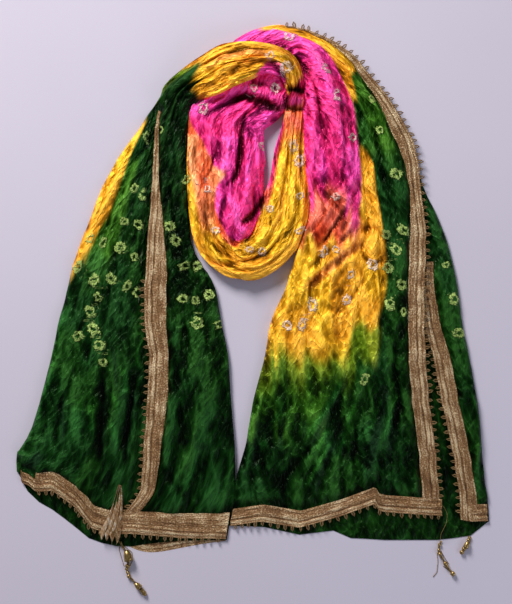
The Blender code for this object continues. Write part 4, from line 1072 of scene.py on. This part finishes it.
def ribbonGrid(t, across, layer, s):
    # points of a ribbon on the cloth: s is 0 at its outer edge and 1 at its inner one
    waver = valueNoise(t, s * 0, 0.35, 1, 61) + 0.5 * valueNoise(t + 9, s * 0, 0.12, 1, 62) - 0.75
    made = clothShape(t, across + ribbonSize["waver"] * waver, layer)
    made[..., 2] += 0.0010 * valueNoise(t, s, 0.16, 0.7, 63)
    rib = ribbonSize["rib"] * np.ones(s.shape)
    for place, deep in ribbonSize["grooves"]:
        rib = rib * (1 - deep * np.exp(-((s - place) / 0.045) ** 2))
    made[..., 2] += ribbonSize["gap"] + rib
    return made


def ribbonPiece(name, node, made, s, material):
    along = runsAlong(made[:, 0])
    width = np.linalg.norm(made[:, -1] - made[:, 0], axis=-1)
    uvs = np.stack([s * width[:, None], np.broadcast_to(along[:, None], s.shape)], -1)
    piece, _, _ = gridPiece(name, made, uvs)
    faceUp(piece, np.arange(len(piece.data.polygons)))
    piece.data.materials.append(material)
    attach(piece, "root")
    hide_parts(node)
    return piece


def picotTemplate():
    # a loop of yarn that stands out from a ribbon's edge, lying flat
    half, long, yarn = picotSize["wide"] / 2, picotSize["long"], picotSize["yarn"]
    route = [(-half, -0.0008), (-half * 1.2, long * 0.55), (0, long), (half * 1.2, long * 0.55),
             (half, -0.0008)]
    shape = bmesh.new()
    rings = []
    for k, (x, y) in enumerate(route):
        before, after = Vector(route[max(k - 1, 0)]), Vector(route[min(k + 1, len(route) - 1)])
        way = (after - before).normalized()
        turn = Matrix.Rotation(math.atan2(way.y, way.x) - math.pi / 2, 4, "Z")
        tip = Matrix.Rotation(math.pi / 2, 4, "X")
        rings.append(ringAt(shape, Matrix.Translation((x, y, 0)) @ turn @ tip, yarn, 4))
    bridgeRings(shape, rings)
    bmesh.ops.recalc_face_normals(shape, faces=shape.faces)
    return meshFrom(shape, "picotTemplate")


picotMesh = picotTemplate()


def picotPiece(name, edge, back, seed):
    # a row of picots along a ribbon's outer edge
    random = np.random.default_rng(seed)
    runs = runsAlong(edge)
    shape = bmesh.new()
    at = 0.5 * picotSize["pitch"]
    while at < runs[-1] - 0.3 * picotSize["pitch"]:
        place = np.array([np.interp(at, runs, edge[:, k]) for k in range(3)])
        inside = np.array([np.interp(at, runs, back[:, k]) for k in range(3)])
        out = place - inside
        angle = math.atan2(out[1], out[0]) - math.pi / 2 + random.normal() * 0.16
        size = 0.85 + 0.3 * random.random()
        random.random()  # keeps the order of the draws
        before = len(shape.verts)
        shape.from_mesh(picotMesh)
        shape.verts.ensure_lookup_table()
        move = (Matrix.Translation((place[0], place[1], place[2] + 0.0001))
                @ Matrix.Rotation(angle, 4, "Z") @ Matrix.Diagonal((size, size, 1, 1)))
        bmesh.ops.transform(shape, matrix=move, verts=shape.verts[before:])
        at += picotSize["pitch"] * (0.85 + 0.3 * random.random())
    mesh = meshFrom(shape, name)
    mesh.shade_smooth()
    mesh.uv_layers.new(name="cloth")
    piece = linkedPiece(name, mesh)
    piece.data.materials.append(picotYarn)
    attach(piece, "root")
    return piece


def ribbonShares(count, columns=ribbonSize["columns"]):
    # 0 at a ribbon's outer edge and 1 at its inner one
    return np.broadcast_to(np.linspace(0, 1, columns)[None, :], (count, columns))


def edgeRibbon(name, node, layer, first, last, seed, picotsTo=99):
    # a ribbon down the long edge of a flap
    fine = np.linspace(first, last, 400)
    w, p = widthAt(fine)
    runs = runsAlong(clothShape(fine, p[layer] * w, layer))
    count = int(runs[-1] / ribbonSize["step"]) + 2
    t = np.interp(np.linspace(0, runs[-1], count), runs, fine)
    w, p = widthAt(t)
    edge = p[layer] * w
    band = p["band"] * squareSize * (1 if layer == "over" else -1)
    s = ribbonShares(count)
    across = edge[:, None] + band[:, None] * s
    made = ribbonGrid(np.broadcast_to(t[:, None], across.shape), across, layer, s)
    ribbonPiece(name, node, made, s, gota)
    shown = t < picotsTo
    picotPiece(name + "Picots", made[shown, 0], made[shown, 2], seed)


def hemRibbon(name, node, layer, fromShare, toShare, side, seed, picots=True, deep=1.0):
    # a ribbon along a hem, over the width between two distances measured as 0 to 1
    w, p = widthAt(np.array([0.0 if side == "left" else float(lastPlace)]))
    tuck, edge = 0.001 * p["tuck"][0], p[layer][0] * w[0]
    ends = (edge, w[0] - tuck) if layer == "over" else (tuck, edge)
    start = ends[0] + (ends[1] - ends[0]) * fromShare
    end = ends[0] + (ends[1] - ends[0]) * toShare
    count = int(abs(end - start) / ribbonSize["step"]) + 2
    s = ribbonShares(count)
    share = np.linspace(start, end, count)[:, None] / w[0]
    times = s * deep if side == "left" else lastPlace - s * deep
    made = ribbonGrid(times, share * widthAt(times)[0], layer, s)
    ribbonPiece(name, node, made, s, gota)
    if picots:
        picotPiece(name + "Picots", made[:, 0], made[:, 2], seed)


edgeRibbon("ribbonLeftFront", "gota_left_front", "over", 1.0, 14.2, 21, 7.4)
edgeRibbon("ribbonRightLong", "gota_right_long", "over", 48.0, lastPlace - 1, 22)
edgeRibbon("ribbonRightShort", "gota_right_short", "under", 58.4, lastPlace, 23)
hemRibbon("ribbonLeftHemTucked", "gota_left_hem_left", "under", 0.05, 0.2, "left", 31, False, 0.7)
hemRibbon("ribbonLeftHemLeft", "gota_left_hem_left", "under", 0.20, 0.99, "left", 24, True, 1.35)
hemRibbon("ribbonLeftHemRight", "gota_left_hem_right", "over", 0.0, 1.0, "left", 25, True, 1.12)
hemRibbon("ribbonRightHem", "gota_right_hem", "over", 0.0, 1.0, "right", 26)
hemRibbon("ribbonRightCorner", "gota_right_corner", "under", 0.0, 0.6, "right", 27, False)


underHem = {
    "outer": ((119, 540), (136, 549), (152, 553), (170, 550), (192, 545.5), (226, 541)),
    "inner": ((121, 532), (137, 536), (152, 538), (170, 536), (192, 534), (225, 532)),
    "height": 0.0001,
}


def buildUnderHem():
    count = 40
    share = np.linspace(0, 1, count)
    sides = []
    for key in ("outer", "inner"):
        line = np.array([layoutPoint(x, y, underHem["height"]) for x, y in underHem[key]])
        at = np.linspace(0, 1, len(line))
        curve = np.polynomial.polynomial.polyfit(at, line, 3)
        sides.append(np.polynomial.polynomial.polyval(share, curve).T)
    s = ribbonShares(count, 7)
    made = sides[0][:, None] * (1 - s[..., None]) + sides[1][:, None] * s[..., None]
    made[..., 2] += 0.0003 * np.sin(np.pi * s)
    ribbonPiece("ribbonLeftUnderHem", "gota_left_under_hem", made, s, gota)


buildUnderHem()

gather = {
    "root": (121, 484), "tip": (110, 537), "rootWide": 0.005, "tipWide": 0.032,
    "pleats": 4, "deep": 0.0036, "height": 0.0078,
}


def buildGather():
    # the ribbon bunched into pleats at the corner, opening toward its tip
    rows, columns = 28, gather["pleats"] * 10 + 1
    s = np.linspace(0, 1, columns)[None, :]
    r = np.linspace(0, 1, rows)[:, None]
    start, end = layoutPoint(*gather["root"]), layoutPoint(*gather["tip"])
    way = (end - start)[:2]
    side = np.array([-way[1], way[0]]) / np.linalg.norm(way)
    wideHere = gather["rootWide"] + (gather["tipWide"] - gather["rootWide"]) * r
    wave = np.sin(np.pi * gather["pleats"] * (s * 2 - 0.3) + 2.2 * r)
    offset = (s - 0.5) * wideHere + 0.003 * np.sin(3 * r) + 0.0008 * wave
    plan = start[:2] + way * (r * (1 + 0.06 * wave))[..., None] + side * offset[..., None]
    ripple = 0.5 + 0.5 * np.sin(np.pi * gather["pleats"] * 2 * s + 1.2 * np.sin(5 * r + 4 * s))
    crumple = valueNoise(s * 0.03 + 0 * r, r * 0.05 + 0 * s, 0.004, 0.006, 71) * 0.0016
    high = gather["height"] + gather["deep"] * ripple * (0.8 + 0.2 * np.cos(4 * r)) + crumple
    made = np.concatenate([plan, high[..., None]], -1)
    ribbonPiece("ribbonLeftGather", "gota_left_gather", made,
                             np.broadcast_to(s, high.shape), gatheredGota)


buildGather()


cordLook = {
    # two twisted strands: points along, length of a turn, and the strands' offset, height and swing
    "steps": 60, "turn": 0.0028, "offset": 0.0009, "height": 0.0019, "swing": 0.0008,
    "strand": 0.00095, "thread": 0.00045, "threadHeight": 0.0006, "bead": 0.00130, "bell": 0.001,
    # places along a bell and its radius there, as shares
    "bellProfile": ((0.0, 0.18), (0.12, 0.55), (0.45, 0.85), (0.8, 0.95), (1.0, 1.0),
                    (0.98, 0.86), (0.75, 0.75)),
}


def turnedTo(way):
    return way.to_track_quat("Z", "Y").to_matrix().to_4x4()


def tubeAlong(shape, route, radius, sides):
    # a closed tube on a route, ring by ring
    rings = []
    for k, point in enumerate(route):
        before, after = route[max(k - 1, 0)], route[min(k + 1, len(route) - 1)]
        turn = turnedTo((Vector(after) - Vector(before)).normalized())
        rings.append(ringAt(shape, Matrix.Translation(point) @ turn, radius, sides,
                            k in (0, len(route) - 1)))
    bridgeRings(shape, rings)


def beadAt(shape, point, radius, stretch, way, seed):
    # a bead or knot, longer along the cord by stretch and a little uneven
    size = Matrix.Diagonal((radius, radius, radius * stretch, 1))
    place = Matrix.Translation((point[0], point[1], radius * 0.98)) @ turnedTo(way) @ size
    made = bmesh.ops.create_icosphere(shape, subdivisions=2, radius=1, matrix=place)
    random = np.random.default_rng(seed)
    for vert in made["verts"]:
        vert.co += Vector(random.normal(size=3)) * radius * 0.05


def bellAt(shape, point, radius, long, way):
    # a small bell of pressed brass lying on its side, open at the far end
    place = Matrix.Translation((point[0], point[1], radius)) @ turnedTo(way)
    bridgeRings(shape, [ringAt(shape, place @ Matrix.Translation((0, 0, (at - 0.5) * long)),
                               radius * share, 14) for at, share in cordLook["bellProfile"]])


tassels = {
    "tasselLeft": {
        "node": "tassel_left",
        "route": ((120.5, 541.6), (123, 547), (128, 553), (128.5, 562), (127, 569), (129, 576),
                  (134, 581), (140, 587), (146, 595)),
        "beads": ((0.30, 2.0, 1.1), (0.34, 2.5, 1.0), (0.42, 3.0, 0.9), (0.47, 2.4, 0.9),
                  (0.53, 2.2, 0.9), (0.59, 2.4, 1.1), (0.90, 2.8, 1.2), (0.955, 2.7, 1.4)),
        "bells": ((0.24, 7.0, 0.0165), (0.79, 5.0, 0.0110)),
        "threads": (((111, 527, 0.013), (116, 533, 0.012), (120, 542, 0.004)),
                    ((118, 528, 0.013), (113, 536, 0.011), (112, 544, 0.003)),
                    ((116, 530, 0.013), (119, 537, 0.011), (116, 545, 0.002)),
                    ((121, 543), (119, 549), (121, 556), (124, 566)),
                    ((124, 546), (132, 552), (133, 560), (129, 568))),
    },
    "tasselRightInner": {
        "node": "tassel_right_inner",
        "route": ((441, 540.8), (439, 545), (438.5, 551), (441, 556), (445, 563), (449, 569),
                  (454, 575)),
        "beads": ((0.10, 1.9, 1.2), (0.24, 2.0, 1.2), (0.34, 2.6, 0.9), (0.62, 2.8, 0.9),
                  (0.68, 2.2, 1.2), (0.94, 3.0, 1.0)),
        "bells": (),
        "threads": (((440, 553), (442, 558), (447, 564)), ((443, 566), (448, 570), (452, 573)),
                    ((437, 552), (438, 562), (437, 572), (433, 577)),
                    ((441, 551), (446, 560), (449, 564)),
                    ((438, 502, 0.0105), (443, 506, 0.0105), (446.5, 513, 0.0100),
                     (445, 523, 0.0100), (440, 533, 0.0085), (440, 541, 0.0015))),
    },
    "tasselRightOuter": {
        "node": "tassel_right_outer",
        "route": ((470, 536.2), (468, 540), (466, 545), (463, 549), (461, 553)),
        "beads": ((0.08, 1.9, 1.1), (0.20, 1.9, 1.1), (0.72, 2.6, 1.0), (0.93, 2.6, 1.2)),
        "bells": ((0.45, 4.4, 0.0110),),
        "threads": (((471, 537), (470, 543), (467, 548)),),
    },
}


def buildTassel(name, sizes, seed):
    line = np.array([layoutPoint(x, y) for x, y in sizes["route"]])
    runs = runsAlong(line)
    shape = bmesh.new()

    def at(share):
        return np.array([np.interp(share * runs[-1], runs, line[:, k]) for k in range(3)])

    def wayAt(share):
        return Vector(at(min(share + 0.05, 1)) - at(max(share - 0.05, 0))).normalized()

    steps = cordLook["steps"]
    for phase in (0, math.pi):
        strand = []
        for share in (k / (steps - 1) for k in range(steps)):
            way = wayAt(share)
            twist = share * runs[-1] / cordLook["turn"] + phase
            point = Vector(at(share)) + Vector((way.y, -way.x, 0)) * cordLook["offset"] * math.cos(twist)
            up = cordLook["height"] + cordLook["swing"] * math.sin(twist)
            strand.append(point + Vector((0, 0, up)))
        tubeAlong(shape, strand, cordLook["strand"], 6)
    for k, (share, radius, stretch) in enumerate(sizes["beads"]):
        beadAt(shape, at(share), cordLook["bead"] * radius, stretch, wayAt(share), seed + k)
    for share, radius, long in sizes["bells"]:
        bellAt(shape, at(share), cordLook["bell"] * radius, long, wayAt(share))
    for thread in sizes["threads"]:
        control = np.array([layoutPoint(*(spot + (cordLook["threadHeight"],))[:3])
                            for spot in thread])
        parts = np.linspace(0, 1, len(control))
        fine = [Vector([np.interp(k / 14, parts, control[:, c]) for c in range(3)])
                for k in range(15)]
        tubeAlong(shape, fine, cordLook["thread"], 5)
    bmesh.ops.recalc_face_normals(shape, faces=shape.faces)
    mesh = meshFrom(shape, name)
    mesh.shade_smooth()
    piece = linkedPiece(name, mesh)
    piece.data.materials.append(brass)
    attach(piece, "root")
    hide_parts(sizes["node"])
    return piece


for seed, (name, sizes) in enumerate(tassels.items()):
    buildTassel(name, sizes, 100 + 20 * seed)
print("tassels made")

studio = {
    "floor": "#D9D6EA", "floorSize": 4.0, "mottle": (0.96, 1.04),
    "key": {"at": (-1.30, 2.40, 1.70), "size": 1.20, "power": 112, "colour": "#FFF8F2"},
    "fill": {"at": (1.9, -1.2, 1.3), "size": 1.6, "power": 12, "colour": "#EEF0FF"},
    "world": 0.17,
    "camera": {"at": (256, 302), "height": 1.9, "tall": 0.906},
}


def paleFloor():
    # a plain painted board, matt and very slightly mottled
    shape = bmesh.new()
    bmesh.ops.create_grid(shape, x_segments=1, y_segments=1, size=studio["floorSize"] / 2)
    board = linkedPiece("floor", meshFrom(shape, "floor"))
    made, tree, shader = newMaterial("pale painted board")
    place = addNode(tree, "ShaderNodeTexCoord")
    noise = noiseNode(tree, place.outputs["Object"], 3.0, 2.0).outputs["Fac"]
    base = linear(studio["floor"])
    tones = [[min(c * level, 1) for c in base] for level in studio["mottle"]]
    tree.links.new(rampNode(tree, noise, tuple(enumerate(tones))), shader.inputs["Base Color"])
    shader.inputs["Roughness"].default_value = 0.8
    board.data.materials.append(made)


def softLight(name, settings):
    lamp = bpy.data.lights.new(name, "AREA")
    lamp.shape = "DISK"
    lamp.size = settings["size"]
    lamp.energy = settings["power"]
    lamp.color = linear(settings["colour"])
    holder = linkedPiece(name, lamp)
    holder.location = settings["at"]
    holder.rotation_euler = Vector(settings["at"]).to_track_quat("Z", "Y").to_euler()


paleFloor()
softLight("key", studio["key"])
softLight("fill", studio["fill"])
world = bpy.data.worlds.new("studio")
world.use_nodes = True
world.node_tree.nodes["Background"].inputs["Color"].default_value = (0.93, 0.93, 1, 1)
world.node_tree.nodes["Background"].inputs["Strength"].default_value = studio["world"]
bpy.context.scene.world = world
bpy.context.scene.view_settings.view_transform = "Standard"

camera = bpy.data.cameras.new("camera")
camera.sensor_fit = "VERTICAL"
camera.angle = 2 * math.atan(studio["camera"]["tall"] / 2 / studio["camera"]["height"])
eye = linkedPiece("camera", camera)
eyeX, eyeY, _ = layoutPoint(*studio["camera"]["at"])
eye.location = (eyeX, eyeY, studio["camera"]["height"])
bpy.context.scene.camera = eye
print("studio made")
